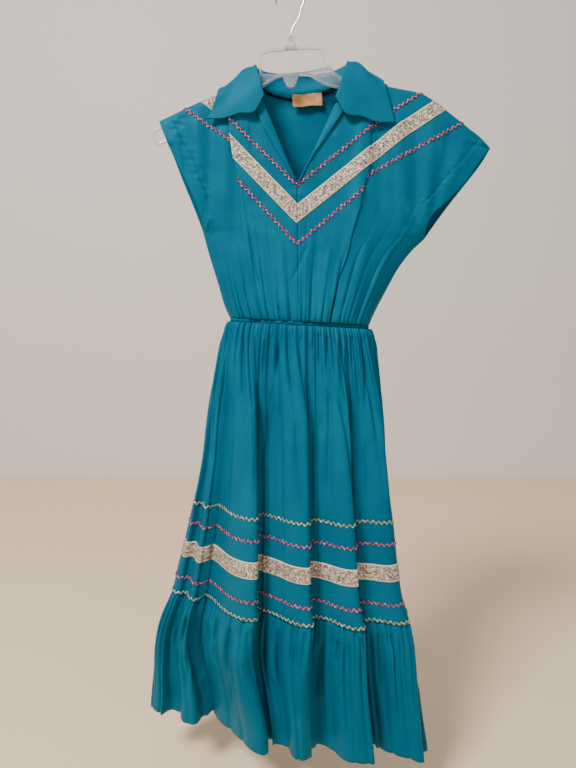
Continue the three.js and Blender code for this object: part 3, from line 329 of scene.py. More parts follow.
class Finish:
    """A material: its own Principled shader, and one method that adds any other node."""

    def __init__(self, name, **constants):
        self.material = bpy.data.materials.new(name)
        self.material.use_nodes = True
        self.tree = self.material.node_tree
        self.shader = self.tree.nodes["Principled BSDF"]
        self.put(constants)

    def put(self, values):
        """Set or link the shader's own sockets; an underscore in a name stands for a space."""
        for key, value in values.items():
            self._join(self.shader.inputs[key.replace("_", " ")], value)

    def _join(self, socket, value):
        if isinstance(value, Wire):
            self.tree.links.new(value.socket, socket)
        else:
            socket.default_value = value

    def node(self, kind, settings, values):
        """Any node: its settings first, then what its sockets hold or link to, by place or name."""
        node = self.tree.nodes.new(kind)
        for key, value in settings.items():
            setattr(node, key, value)
        pairs = values.items() if isinstance(values, dict) else enumerate(values)
        for key, value in pairs:
            self._join(node.inputs[key], value)
        return node

    def place(self, kind):
        """Texture coordinates: kind is Object or UV, in metres."""
        return Wire(self, self.node("ShaderNodeTexCoord", {}, {}).outputs[kind])

    def stretched(self, vector, scale):
        """The vector with each of its axes multiplied by a number of its own."""
        node = self.node("ShaderNodeMapping", {}, {"Vector": vector, "Scale": scale})
        return Wire(self, node.outputs[0])

    def axes(self, vector):
        node = self.node("ShaderNodeSeparateXYZ", {}, [vector])
        return [Wire(self, out) for out in node.outputs]

    def noise(self, vector, scale, detail=2.0):
        sockets = {"Vector": vector, "Scale": scale, "Detail": detail}
        return Wire(self, self.node("ShaderNodeTexNoise", {}, sockets).outputs[0])

    def specks(self, vector, scale):
        """Two random greys for each cell."""
        node = self.node("ShaderNodeTexVoronoi", {}, {"Vector": vector, "Scale": scale})
        grey = self.node("ShaderNodeSeparateColor", {}, [Wire(self, node.outputs["Color"])])
        return Wire(self, grey.outputs[0]), Wire(self, grey.outputs[1])

    def mixed(self, factor, a, b):
        """Colour a where the factor is 0, b where it is 1."""
        node = self.node("ShaderNodeMix", {"data_type": "RGBA"}, {})
        for key, value in (("Factor_Float", factor), ("A_Color", a), ("B_Color", b)):
            self._join(next(s for s in node.inputs if s.identifier == key), value)
        return Wire(self, next(s for s in node.outputs if s.identifier == "Result_Color"))

    def bumped(self, height, distance, strength=1.0):
        """Link a height in metres to the shader's normal."""
        sockets = {"Height": height, "Distance": distance, "Strength": strength}
        node = self.node("ShaderNodeBump", {}, sockets)
        self.put({"Normal": Wire(self, node.outputs["Normal"])})


def rgb(r, g, b):
    return (r, g, b, 1)


# ---------- finishes ----------
TEAL = rgb(0.0004, 0.108, 0.186)
TEAL_WORN = rgb(0.0015, 0.136, 0.216)
TEAL_DEEP = rgb(0.0002, 0.080, 0.146)


def cotton(name, stitches=()):
    """Polished cotton: a plain weave of two crossed thread waves, slubs, a faint mottle, and rows
    of machine stitches at the given heights of the UV map's second axis, in mm."""
    f = Finish(name, Specular_IOR_Level=0.16, Specular_Tint=rgb(0.1, 0.75, 0.95))
    place, sheet = f.place("Object"), f.place("UV")
    along_u, along_v, _ = f.axes(sheet)
    cloud = f.noise(place, 9.0, 4.0)
    slub_warp = f.noise(f.stretched(sheet, (1500, 60, 1)), 1.0, 2.0)
    slub_weft = f.noise(f.stretched(sheet, (60, 1500, 1)), 1.0, 2.0)
    colour = f.mixed(cloud.between(0.35, 0.75), TEAL, TEAL_WORN)
    colour = f.mixed((slub_warp + slub_weft).between(0.95, 1.35) * 0.35, colour, TEAL_DEEP)
    height = (slub_warp + slub_weft) * 0.5
    for row in stitches:
        beside = (along_v - row * MM).size().between(0.0006, 0.0002)
        dash = along_u.repeating(0.0026).between(-0.3, 0.2)
        colour = f.mixed(beside * dash * 0.55, colour, TEAL_DEEP)
        height = height - beside * (0.6 + dash * -0.5) * 2.0
    f.put({"Base Color": colour, "Roughness": cloud * 0.16 + slub_warp * 0.08 + 0.40})
    f.bumped(height, 0.00014, 0.8)
    return f.material


def ricrac(name, thread, light, dark, metallic):
    """Ric-rac braid: slanting plaited threads with painted shade between them, and glints of metallic yarn
    painted as light specks.
    """
    f = Finish(name, Specular_IOR_Level=0.5, Metallic=metallic)
    place = f.place("UV")
    u, v, _ = f.axes(place)
    plait = (u + v).repeating(0.0011)
    cells, glint = f.specks(place, 900.0)
    # Painted shade: the hollows between the plaits, where the bump sinks, take the dark colour.
    colour = f.mixed(plait.between(-0.8, 0.6), dark, thread)
    # Painted glints: random cells take the light colour.
    colour = f.mixed(glint.between(0.62, 0.8) * 0.9, colour, light)
    f.put({"Base Color": colour, "Roughness": cells * 0.35 + 0.22})
    f.bumped(plait * 0.5 + cells, 0.0003)
    return f.material


def brocade():
    """Brocade ribbon: an ecru ground with metallic weft, small scattered sprays of pink, brown and
    grey-green threads, and a plain cream selvedge along both edges."""
    f = Finish("brocade", Specular_IOR_Level=0.5)
    place = f.place("UV")
    u, v, _ = f.axes(place)
    spray = f.noise(place, 190.0, 3.0)
    sprig = f.noise(place, 270.0, 2.0)
    grey, hue = f.specks(place, 560.0)
    ribs, threads = v.repeating(0.0009), u.repeating(0.0007)
    ground = f.mixed(grey.between(0.3, 0.9), rgb(0.30, 0.21, 0.13), rgb(0.88, 0.80, 0.60))
    silver = hue.between(0.72, 0.82)
    ground = f.mixed(silver, ground, rgb(0.86, 0.84, 0.78))
    pink = spray.between(0.50, 0.58) * grey.between(0.35, 0.55)
    ground = f.mixed(pink * 0.8, ground, rgb(0.42, 0.17, 0.19))
    dark = sprig.between(0.50, 0.58) * hue.between(0.20, 0.45)
    ground = f.mixed(dark * 0.92, ground, rgb(0.060, 0.040, 0.050))
    green = (1 - spray).between(0.54, 0.62) * hue.between(0.45, 0.7)
    ground = f.mixed(green * 0.8, ground, rgb(0.13, 0.17, 0.12))
    edge = f.node("ShaderNodeUVMap", {"uv_map": "edge"}, {})
    across, _, _ = f.axes(Wire(f, edge.outputs[0]))
    selvedge = across.between(0.84, 0.88)
    colour = f.mixed(selvedge, ground, rgb(0.78, 0.68, 0.44))
    f.put({"Base Color": colour, "Metallic": silver * (1 - selvedge) * 0.55,
           "Roughness": grey * 0.3 + 0.3})
    f.bumped(ribs * 0.25 + threads * 0.15 + grey * 0.5 + selvedge * 0.6, 0.0003)
    return f.material


def clear_plastic(name, alpha):
    """Clear moulded plastic: see-through, glossy, with a slight haze of fine scratches."""
    f = Finish(name, Base_Color=rgb(0.93, 0.95, 0.96), Transmission_Weight=0.85, IOR=1.46, Alpha=alpha)
    place = f.place("Object")
    haze = f.noise(f.stretched(place, (40, 40, 400)), 1.0, 3.0)
    f.put({"Roughness": haze * 0.10 + 0.04})
    f.bumped(f.noise(place, 60.0, 2.0), 0.0004, 0.3)
    return f.material


def bright_wire():
    """Plated steel wire: bright, with fine drawing marks and a few dull spots."""
    f = Finish("bright_wire", Metallic=1.0)
    place = f.place("Object")
    marks = f.noise(f.stretched(place, (900, 900, 60)), 1.0, 3.0)
    spots = f.noise(place, 120.0, 4.0).between(0.55, 0.7)
    f.put({"Base Color": f.mixed(spots * 0.6, rgb(0.72, 0.73, 0.75), rgb(0.40, 0.38, 0.36)),
           "Roughness": marks * 0.16 + spots * 0.2 + 0.10})
    f.bumped(marks, 0.00008)
    return f.material


def label_tape():
    """Woven tape, faded orange: ribs across, and pale wear in random patches."""
    f = Finish("label_tape", Specular_IOR_Level=0.3)
    place = f.place("UV")
    u, v, _ = f.axes(place)
    ribs = u.repeating(0.0012)
    worn = f.noise(place, 90.0, 4.0)
    colour = f.mixed(worn.between(0.35, 0.7), rgb(0.50, 0.24, 0.075), rgb(0.66, 0.40, 0.17))
    colour = f.mixed(ribs.between(-0.2, 1.0) * 0.25, colour, rgb(0.74, 0.53, 0.30))
    f.put({"Base Color": colour, "Roughness": worn * 0.2 + 0.65})
    f.bumped(ribs + worn, 0.0002)
    return f.material


COTTON = cotton("cotton")
COTTON_HEM = cotton("cotton_hem", stitches=(HEM_DEPTH - 1.5,))
# Each braid's dark colour is painted shade between its plaits; its light colour is painted glints.
PINK = ricrac("pink_braid", thread=rgb(0.40, 0.045, 0.15), light=rgb(0.84, 0.42, 0.58),
              dark=rgb(0.10, 0.012, 0.05), metallic=0.25)
GOLD = ricrac("gold_braid", thread=rgb(0.36, 0.37, 0.24), light=rgb(0.90, 0.90, 0.74),
              dark=rgb(0.05, 0.11, 0.09), metallic=0.45)
BROCADE = brocade()
CLEAR = clear_plastic("clear_plastic", 1.0)
CLEAR_WEB = clear_plastic("clear_web", 0.45)
WIRE = bright_wire()
TAPE = label_tape()


# ---------- skirt ----------
def level(key, z):
    return hermite(LEVELS["z"], LEVELS[key], z)


def skirt_point(j, z, extra=0.0):
    """The skirt at column j and height z. The section is an ellipse; on it each big fold is a wave
    from valley to valley, (1 - cos) / 2, whose points slide along the section by its lean. extra
    moves the point out along the ellipse's normal."""
    j, z = np.broadcast_arrays(np.asarray(j, float), np.asarray(z, float))
    around = np.mod(j, COLUMNS)
    k = np.clip(np.searchsorted(FOLD_STARTS, around, side="right") - 1, 0, len(FOLDS["columns"]) - 1)
    after = (k + 1) % len(FOLDS["columns"])
    turn_over = np.where(k == len(FOLDS["columns"]) - 1, 360, 0)
    share = (around - FOLD_STARTS[k]) / FOLDS["columns"][k]
    down = (WAIST_Z - z) / (WAIST_Z - TIER_Z)
    below = smooth((TIER_Z - z) / (TIER_Z - HEM_Z))

    def valley(n):
        upper = lerp(FOLDS["waist"][n], FOLDS["tier"][n], smooth(down))
        return upper + (FOLDS["hem"][n] - FOLDS["tier"][n]) * below

    start, end = valley(k), valley(after) + turn_over
    half = level("half", z)

    def depth_at(angle):
        return np.where(np.sin(angle) > 0, level("front", z), level("back", z))

    middle = (start + end) / 2 * DEG
    run = np.hypot(half * np.sin(middle), depth_at(middle) * np.cos(middle))
    width = (end - start) * DEG * run
    grow = smooth((WAIST_Z - z) / 160) * (0.75 + 0.25 * smooth(down))
    phase = 2 * np.pi * share
    crest = (1 - np.cos(phase)) / 2
    slide = (0.035 * np.sin(2 * phase) - FOLDS["lean"][k] * crest * 0.6) * grow
    angle = lerp(start, end, share + slide) * DEG
    b = depth_at(angle)
    out_x, out_y = b * np.cos(angle), half * np.sin(angle)
    size = np.hypot(out_x, out_y)
    inset = lerp(FOLDS["inset"][k], FOLDS["inset"][after], share) * below
    rise = (2 * crest - 1) * FOLDS["depth"][k] * width * grow - inset + extra
    x = half * np.cos(angle) + out_x / size * rise
    y = -b * np.sin(angle) - out_y / size * rise
    turn = -level("turn", z) * DEG
    px = level("centre_x", z) + x * np.cos(turn) - y * np.sin(turn)
    py = level("centre_y", z) + x * np.sin(turn) + y * np.cos(turn)
    return np.stack([px, py, z + SIDE_TILT * (px - level("centre_x", z))], -1)


# Creases in the skirt tier and in the flounce: column at the top and at the bottom, top and
# bottom height, half width in columns, and height of the ridge, negative for a trough.
SKIRT_CREASES = columns("top_j low_j top_z low_z width rise", [
    (34.4, 34.5, -620, -767, 0.45, -2.8), (33.4, 33.4, -534, -824, 0.45, -3.2),
    (32.3, 32.7, -642, -794, 0.5, 2.2), (25.4, 29.1, -540, -780, 0.45, -3.4),
    (26.1, 27.2, -644, -820, 0.4, -2.4), (23.9, 23.5, -667, -822, 0.45, -2.8),
    (23.6, 24.2, -530, -637, 0.4, -2.2), (16.4, 17.1, -612, -810, 0.45, -3.2),
    (15.0, 12.5, -624, -822, 0.45, -3.2), (12.9, 15.3, -528, -632, 0.45, 2.2),
    (5.1, 7.9, -528, -664, 0.4, -2.4), (46.4, 43.0, -542, -787, 0.45, -2.8),
    (40.1, 38.4, -540, -650, 0.4, -2.2), (43.4, 40.1, -652, -847, 0.5, 2.6),
    (17.7, 17.9, -528, -592, 0.35, -2.2), (5.0, 5.1, -664, -822, 0.5, 2.2),
    (28.7, 28.7, -540, -597, 0.4, 2.2),
    (8.9, 9.3, -532, -590, 0.35, -2.2), (27.3, 27.1, -534, -630, 0.4, -2.4),
    (21.6, 22.1, -537, -604, 0.35, -2.0), (15.7, 16.3, -534, -592, 0.35, -2.2),
    (10.9, 14.7, -534, -692, 0.4, 2.2), (35.7, 36.2, -647, -810, 0.45, -2.2),
    (25.1, 25.1, -684, -822, 0.6, 2.2), (18.0, 18.7, -682, -827, 0.6, 2.2), (7.8, 7.8, -697, -822, 0.5, -2.0),
    (19.6, 19.3, -544, -667, 0.4, -2.4), (30.8, 30.0, -542, -612, 0.3, -2.6), (2, 2.6, -540, -940, 0.5, 2.6),
    (6.4, 6, -528, -720, 0.4, -2.6), (44.6, 45.2, -535, -960, 0.52, 2.8), (47.2, 46.8, -580, -985, 0.6, -3),
    (49, 48.6, -530, -790, 0.45, 3.2), (54, 54.5, -535, -930, 0.6, 3), (57.1, 56.6, -560, -760, 0.45, -3),
    (60.2, 60.6, -530, -985, 0.52, 3.2), (63.6, 63, -600, -880, 0.45, -2.5),
    (66.4, 66.9, -528, -720, 0.45, 3),
    (70.3, 69.8, -545, -985, 0.6, -3.2), (73.2, 73.8, -560, -840, 0.45, 2.8),
    (76, 75.6, -530, -960, 0.52, 3),
    (79.4, 80, -640, -985, 0.6, -2.8), (82.6, 82.1, -528, -780, 0.45, 3.2),
    (86.2, 86.8, -550, -940, 0.52, -3),
    (89.8, 89.4, -530, -700, 0.38, 2.8), (93.1, 93.7, -580, -985, 0.6, 3), (97, 96.5, -535, -860, 0.45, -3.2),
    (100.4, 100.9, -528, -985, 0.52, 2.8), (104.6, 104.1, -560, -800, 0.45, 3),
    (108.3, 108.8, -540, -960, 0.52, -2.8), (110.9, 110.5, -528, -740, 0.38, 2.5),
])
FLOUNCE_CREASES = columns("top_j low_j top_z low_z width rise", [
    (36.7, 36.9, -1030, -1104, 0.3, -2.8), (35.5, 35.7, -1007, -1064, 0.3, -2.6),
    (33.7, 35.7, -1004, -1215, 0.4, -4.2), (32.7, 32.1, -1002, -1110, 0.3, -3.0),
    (27.6, 28.5, -1042, -1215, 0.3, -2.8), (26.3, 25.9, -1007, -1137, 0.3, -3.0),
    (24.7, 24.3, -992, -1072, 0.3, -3.0), (23.5, 23.8, -992, -1084, 0.3, -2.8),
    (18.4, 18.9, -1030, -1144, 0.35, -3.2), (16.7, 16.9, -1014, -1060, 0.25, -2.6),
    (15.9, 15.9, -1012, -1202, 0.35, -3.4), (15.1, 12.3, -994, -1052, 0.3, -2.6),
    (8.7, 8.8, -1004, -1127, 0.3, -3.0), (7.4, 6.5, -1002, -1072, 0.3, -2.8),
    (42.7, 40.8, -1024, -1172, 0.35, -3.0), (38.3, 40.7, -1020, -1187, 0.35, -3.2),
    (40.0, 41.1, -1017, -1120, 0.3, -2.8), (34.1, 34.1, -1007, -1067, 0.25, -2.4),
    (26.8, 26.7, -1034, -1122, 0.3, 2.4), (17.5, 17.8, -1020, -1172, 0.4, 2.6),
    (7.7, 7.7, -1017, -1162, 0.4, 2.4), (35.9, 39.0, -1054, -1192, 0.35, 2.4),
    (33.1, 34.5, -1040, -1215, 0.5, 2.6), (46.5, 47.0, -999, -1103, 0.29, -2.8),
    (48.9, 48.2, -994, -1210, 0.37, -2.6), (52.1, 52.8, -1004, -1187, 0.33, -2.9),
    (55.6, 54.9, -1000, -1101, 0.40, -2.5), (58.7, 59.3, -996, -1194, 0.40, -2.4),
    (61.9, 61.1, -999, -1126, 0.31, -2.7), (65.2, 64.9, -995, -1165, 0.34, -3.2),
    (67.2, 66.9, -1003, -1136, 0.35, -2.6), (69.9, 70.6, -994, -1187, 0.33, -3.4),
    (73.7, 74.4, -1000, -1096, 0.38, -3.1), (77.3, 77.3, -996, -1156, 0.29, -3.1),
    (80.3, 80.1, -1003, -1089, 0.33, -3.2), (83.0, 83.3, -1000, -1201, 0.42, -3.1),
    (86.9, 86.3, -1002, -1187, 0.34, -3.0), (89.4, 90.1, -997, -1120, 0.28, -2.8),
    (92.7, 93.4, -1004, -1109, 0.42, -2.6), (96.2, 95.6, -998, -1071, 0.40, -3.2),
    (98.1, 98.1, -996, -1134, 0.36, -2.5), (102.5, 102.1, -998, -1069, 0.28, -2.6),
    (104.6, 105.3, -1004, -1132, 0.34, -3.1), (108.6, 108.4, -1003, -1120, 0.36, -3.1),
])

# Short level creases where the folded skirt lay pressed: middle column and height, half width in
# columns, slope in mm for each column, and height.
PRESS_MARKS = columns("j z width slope rise", [
    (20.2, -632, 2.0, 0.4, 1.1), (17.2, -652, 1.5, -0.6, 0.9), (24.4, -612, 1.2, 0.8, -0.8),
    (31.5, -660, 2.4, 0.5, 1.0), (36.2, -604, 1.6, -0.8, 0.9), (29.0, -742, 1.8, 1.4, 0.8),
    (43.0, -668, 1.6, 0.6, -0.8), (14.0, -734, 1.4, -1.0, 0.9), (22.6, -804, 1.8, 2.4, 0.8),
    (32.0, -770, 2.2, -2.2, 0.7), (62.0, -640, 2.0, 0.6, 1.0), (74.5, -618, 1.8, -0.8, 0.9),
    (88.0, -655, 2.2, 0.5, -0.8), (99.5, -700, 1.8, 1.2, 0.9), (67.0, -760, 2.0, -1.6, 0.8),
])


CREASE_FORCE = 1.5  # times the heights above


def creases_on(table, j, z):
    """Sum of ridges: each is a Gaussian across, along a slanting line that fades at both ends."""
    total = np.zeros(np.broadcast(j, z).shape)
    for a, b, top, low, width, rise in zip(*table.values()):
        share = (top - z) / (top - low)
        off = (np.mod(j - lerp(a, b, share) + COLUMNS / 2, COLUMNS) - COLUMNS / 2) / width
        ends = smooth(share / 0.12) * smooth((1 - share) / 0.35)
        total += rise * ends * np.exp(-off * off)
    return total


def press_marks_on(j, z):
    """Sum of short level ridges, 3 mm wide, that fade at both sides."""
    total = np.zeros(np.broadcast(j, z).shape)
    for mid, high, width, slope, rise in zip(*PRESS_MARKS.values()):
        off = np.mod(j - mid + COLUMNS / 2, COLUMNS) - COLUMNS / 2
        total += rise * np.exp(-((z - high - slope * off) / 3.0) ** 2) * smooth((width - np.abs(off)) / 0.5)
    return total


def pinched(phase):
    """A wave from -1 to 1 with round crests and sharp valleys: 1 - 2 (1 - |sin of half phase|)^2."""
    return 1 - 2 * (1 - np.abs(np.sin(phase / 2))) ** 2


def tier_cloth(j, z):
    """The skirt tier: fine gathers, one to a column, and wider ones, one to two columns, all uneven
    in place, depth and length, that die out below the waist; a swell under the seam; creases, press
    marks and a fine crumple."""
    drop = WAIST_Z - WAIST_HALF_HEIGHT - SEAM - z
    wide = np.pi * (j + 0.75 * uneven(j / 2.0, COLUMNS / 2, 3, -1, 1))
    fine = 2 * np.pi * (j + 0.35 * uneven(j, COLUMNS, 6, -1, 1))
    depth = GATHER_DEPTH * uneven(j * 0.5, COLUMNS // 2, 4, 0.5, 1.5)
    reach = uneven(j * 0.5, COLUMNS // 2, 5, 70, 330)
    gather = depth * pinched(wide) * np.exp(-(drop / reach) ** 2)
    fine_reach = uneven(j, COLUMNS, 8, 30, 130)
    pucker = uneven(j, COLUMNS, 7, 0.8, 2.0) * pinched(fine) * np.exp(-(drop / fine_reach) ** 2)
    swell = 3.4 * (1 - np.exp(-drop / 5)) * np.exp(-drop / 70) - 1.4 * np.exp(-drop / 3)
    crumple = 0.5 * np.sin(j * 0.83 + z * 0.021) * np.sin(z * 0.047 - j * 0.37 + 1.3)
    lines = CREASE_FORCE * creases_on(SKIRT_CREASES, j, z) * smooth(drop / 20)
    return skirt_point(j, z, gather + pucker + swell + crumple + lines + press_marks_on(j, z))


def flounce_cloth(j, z):
    """The flounce: fine uneven gathers under the seam, one to a column, that merge by twos and
    fours into waves towards the hem, with the hem's turned edge standing out a little."""
    down = TIER_Z - z
    near = np.exp(-((down / FLOUNCE_GATHER_FADE) ** 2))
    fine = 2 * np.pi * (j + 0.4 * uneven(j, COLUMNS, 12, -1, 1))
    wide = np.pi * (j + 0.6 * uneven(j / 2.0, COLUMNS / 2, 13, -1, 1))
    depth = FLOUNCE_GATHER_DEPTH * uneven(j, COLUMNS, 14, 0.5, 1.3)
    reach = uneven(j + 3, COLUMNS, 15, 50, 170)
    gather = depth * pinched(fine) * np.exp(-(down / reach) ** 2) - FLOUNCE_SET_BACK * near
    merged_reach = uneven(j * 0.5 + 5, COLUMNS // 2, 19, 90, 260)
    merged = 3.4 * pinched(wide) * smooth(down / 40) * np.exp(-(down / merged_reach) ** 2)
    swell = 2.6 * (1 - np.exp(-down / 6)) * np.exp(-down / 60)
    share = smooth(down / (TIER_Z - HEM_Z))
    size = FLOUNCE_WAVE_DEPTH * uneven(j * 0.25, COLUMNS // 4, 16, 0.45, 1.25)
    sway = 0.5 * uneven(j * 0.25, COLUMNS // 4, 17, -1, 1)
    wave = size * share * np.sin(np.pi * j / 2 + 0.8 + sway)
    ripple = 2.0 * share * pinched(wide + 0.4) * uneven(j * 0.5 + 1, COLUMNS // 2, 18, 0.0, 1.0)
    crumple = 0.6 * np.sin(j * 0.9 - z * 0.03) * np.sin(z * 0.05 + j * 0.41)
    lines = CREASE_FORCE * creases_on(FLOUNCE_CREASES, j, z)
    stitched = z - HEM_Z - HEM_DEPTH
    hem = 0.5 * smooth(-stitched / 2) - 0.7 * np.exp(-(stitched / 1.6) ** 2)
    return skirt_point(j, z, gather + merged + swell + wave + ripple + crumple + lines + hem)


def grid_of(cloth, first, last, fine, heights):
    """Points of a cloth from column first to last, `fine` to a column, at the given heights, and
    their UVs: distance along the row at mid height, and height above the lowest row, in mm."""
    j = np.linspace(first, last, int(round((last - first) * fine)) + 1)
    points = cloth(j[None, :], heights[:, None])
    u = reach_of(points[len(points) // 2])
    return points, stacked(u[None, :], heights[:, None] - heights[-1])


TIER_TOP = WAIST_Z - WAIST_HALF_HEIGHT - SEAM
HALF_GAP = 0.02  # columns between the halves at a side seam
tier_heights = np.concatenate([TIER_TOP - 60 * np.linspace(0, 1, 24)[:-1] ** 1.3,
                               np.linspace(TIER_TOP - 60, TIER_Z + SEAM / 2, 72)])
flounce_heights = np.concatenate([TIER_Z - SEAM / 2 - 40 * np.linspace(0, 1, 14)[:-1] ** 1.2,
                                  np.linspace(TIER_Z - 40, HEM_Z, 44)])
# Each half of the skirt: its first and last column, and how many columns of the grid a column of
# the tier and of the flounce has.
HALVES = (("front", SEAM_RIGHT - COLUMNS, SEAM_LEFT, 8, 9), ("back", SEAM_LEFT, SEAM_RIGHT, 5, 6))
for half, first, last, tier_fine, flounce_fine in HALVES:
    for part, cloth, heights, finish, fine, above in (
            ("skirt", tier_cloth, tier_heights, COTTON, tier_fine, "waist_seam"),
            ("flounce", flounce_cloth, flounce_heights, COTTON_HEM, flounce_fine, "skirt_front")):
        points, uv = grid_of(cloth, first + HALF_GAP, last - HALF_GAP, fine, heights)
        name = f"{part}_{half}"
        piece = cloth_mesh(f"cloth_{name}", points, uv, finish, "cotton", name, flip=True)
        declare_sheet(points)


def skirt_strip(z, offsets, wave=None, swing=0.0):
    """A strip round the tier at height z: stations at equal steps of length, rows at offsets up
    and out from the cloth. With a wave length, its middle swings up and down as a sine."""
    rough = np.linspace(0, COLUMNS, COLUMNS * 8 + 1)
    reach = reach_of(tier_cloth(rough, np.full_like(rough, z)))
    waves = round(reach[-1] / wave) if wave else 0
    count = (waves or COLUMNS) * 8
    s = np.arange(count) / count
    j = np.interp(s * reach[-1], reach, rough)[None, :]
    up, away = np.array(offsets, float).T[:, :, None]
    heights = z + swing * np.sin(2 * np.pi * waves * s)[None, :] + up
    step = 0.04  # columns
    run = tier_cloth(j + step, heights) - tier_cloth(j - step, heights)
    fall = tier_cloth(j, heights + 1) - tier_cloth(j, heights - 1)
    points = tier_cloth(j, heights) + unit(np.cross(fall, run)) * away[..., None]
    return points, stacked((np.append(s, 1) * reach[-1])[None, :], up)


TRIM = 0.5  # thickness of braid and ribbon
RICRAC_WAVE = 8.6  # one zigzag
RICRAC_SWING = 1.8
RICRAC_PROFILE = [(1.7, 0.8), (0.85, 1.6), (0.0, 1.9), (-0.85, 1.6), (-1.7, 0.8)]
SKIRT_RICRAC = (("gold_upper", -825, GOLD, "gold_ricrac"), ("pink_upper", -860, PINK, "pink_ricrac"),
                ("pink_lower", -957, PINK, "pink_ricrac"), ("gold_lower", -985, GOLD, "gold_ricrac"))
for name, z, finish, slot in SKIRT_RICRAC:
    points, uv = skirt_strip(z, RICRAC_PROFILE, RICRAC_WAVE, RICRAC_SWING)
    cloth_mesh(f"braid_skirt_{name}", points, uv, finish, slot, f"skirt_ricrac_{name}", wall=TRIM,
               ring=True, flip=True)

BAND_Z, BAND_HALF = -906, 13.5
BAND_ROWS = (1, 0.86, 0.55, 0.25, 0, -0.25, -0.55, -0.86, -1)  # shares of the half width
BAND_PROFILE = [(BAND_HALF * t, 1.0 + 0.25 * (1 - t * t)) for t in BAND_ROWS]


def edge_map(piece, half):
    """A second UV map whose first axis runs from 0 at a ribbon's middle to 1 at its edges."""
    mesh = piece.data
    layer = mesh.uv_layers.new(name="edge")
    first = np.zeros(len(mesh.loops) * 2)
    mesh.uv_layers["cloth"].data.foreach_get("uv", first)
    across = np.abs(first[1::2]) / (half * MM)
    layer.data.foreach_set("uv", np.stack([across, across * 0], -1).ravel())
    mesh.uv_layers["cloth"].active_render = True


points, uv = skirt_strip(BAND_Z, BAND_PROFILE)
ribbon = cloth_mesh("ribbon_skirt", points, uv, BROCADE, "brocade", "skirt_brocade", wall=TRIM,
                    ring=True, flip=True)
edge_map(ribbon, BAND_HALF)


# ---------- waist seam ----------
def waist_ring():
    """A thin cord in the groove between bodice and skirt, its radius uneven as elastic pulls it."""
    stations, sides = 672, 10
    j = np.arange(stations) / stations * COLUMNS
    base = skirt_point(j, np.full_like(j, WAIST_Z), -1.9)
    run = np.roll(base, -1, 0) - np.roll(base, 1, 0)
    out = unit(np.stack([-run[:, 1], run[:, 0], np.zeros(stations)], -1))
    out *= np.sign((out * (base - base.mean(0))).sum(-1))[:, None]
    turn = 2 * np.pi * np.arange(sides) / sides
    size = 1.9 + 0.5 * np.cos(np.pi * j) + 0.3 * np.sin(j * 2.7)
    wander = 0.3 * np.sin(j * 0.61) + 0.3 * np.sin(j * 1.37 + 1)
    points = (base[None] + out[None] * (np.cos(turn)[:, None] * size)[..., None]
              + np.array([0, 0, 1]) * (np.sin(turn)[:, None] * 3.5 + wander)[..., None])
    points = np.concatenate([points, points[:1]], 0)
    return points, stacked(np.append(j, COLUMNS)[None, :] * 5, np.arange(sides + 1)[:, None] * 1.5)


def tube_mesh(name, points, uv, finish, slot, node=None, ring=False):
    """A closed tube from a grid whose rows go round the tube: the last row repeats the first."""
    piece = cloth_mesh(name, points, uv, finish, slot, node, wall=0, ring=ring)
    piece.modifiers.new("weld", "WELD").merge_threshold = 1e-6


tube_mesh("cord_waist", *waist_ring(), COTTON, "cotton", "waist_seam", ring=True)


# ---------- bodice ----------
def waist_top(x):
    return WAIST_Z + WAIST_HALF_HEIGHT + SEAM + SIDE_TILT * (x - LEVELS["centre_x"][0])


LEFT_SIDE = line((-98, waist_top(-98)), (-107, -489), (-116, -457), (-130, -410), (-140, -372))
LEFT_CUFF = line((-140, -372), (-158, -326), (-174, -287), (-190, -244), (-206, -202))
LEFT_SHOULDER = line((-206, -202), (-157, -180), (-118, -165), (-83, -150), (-56, -130))
LEFT_NECK = line((-56, -130), (-44, -173), (-5, -268), (11, -302))
RIGHT_SIDE = line((128, waist_top(128)), (137, -501), (154, -468), (173, -433), (194, -405), (216, -384))
RIGHT_CUFF = line((216, -384), (253, -334), (290, -287), (308, -262), (318, -243))
RIGHT_SHOULDER = line((318, -243), (301, -226), (283, -213), (252, -191), (218, -168), (204, -161),
                      (139, -147), (92, -124))
# The front ply's cuff, drawn in from the back's towards the underarm.
FRONT_LEFT_CUFF = line((-140, -372), (-142, -352), (-150, -326), (-167, -290), (-188, -247), (-206, -202))
FRONT_RIGHT_CUFF = line((216, -384), (217, -365), (229, -344), (243, -332), (260, -316), (280, -295),
                        (299, -267), (318, -243))
RIGHT_NECK = line((92, -124), (73, -178), (19, -290), (11, -302))
BACK_NECK = line((-56, -130), (-40, -152), (13, -163), (72, -148), (92, -124))
CENTRE_FRONT = line((13, waist_top(13)), (11, -302))
BACK_OUTLINES = (np.concatenate([LEFT_SIDE, LEFT_CUFF[1:]]),
                 np.concatenate([RIGHT_SIDE, RIGHT_CUFF[1:]]))
FRONT_OUTLINES = (np.concatenate([LEFT_SIDE, FRONT_LEFT_CUFF[1:]]),
                  np.concatenate([RIGHT_SIDE, FRONT_RIGHT_CUFF[1:]]))
KNIFE_PLEAT = columns("v u hidden", [
    (0, 0.5, 3), (0.35, 0.53, 9), (0.6, 0.56, 20), (0.8, 0.57, 30), (1, 0.54, 33)])
SMALL_TUCK = columns("v u hidden", [
    (0, 0.26, 2.2), (0.13, 0.335, 2.3), (0.27, 0.43, 3), (0.45, 0.47, 4), (0.62, 0.515, 5), (0.8, 0.485, 7),
    (1, 0.53, 8.5)])
NECK_SHARE = 0.368
UNDERARM_SHARE = 0.47


def side_of(x):
    """-1 on the viewer's left of the bodice's centre, 1 on the right."""
    return np.where(x < CENTRE_X, -1.0, 1.0)


def outline_x(x, z, outlines=BACK_OUTLINES):
    """x of the bodice's outline at height z, on the side where x is."""
    left, right = (hermite(edge[:, 1], edge[:, 0], z) for edge in outlines)
    return np.where(x < CENTRE_X, left, right)


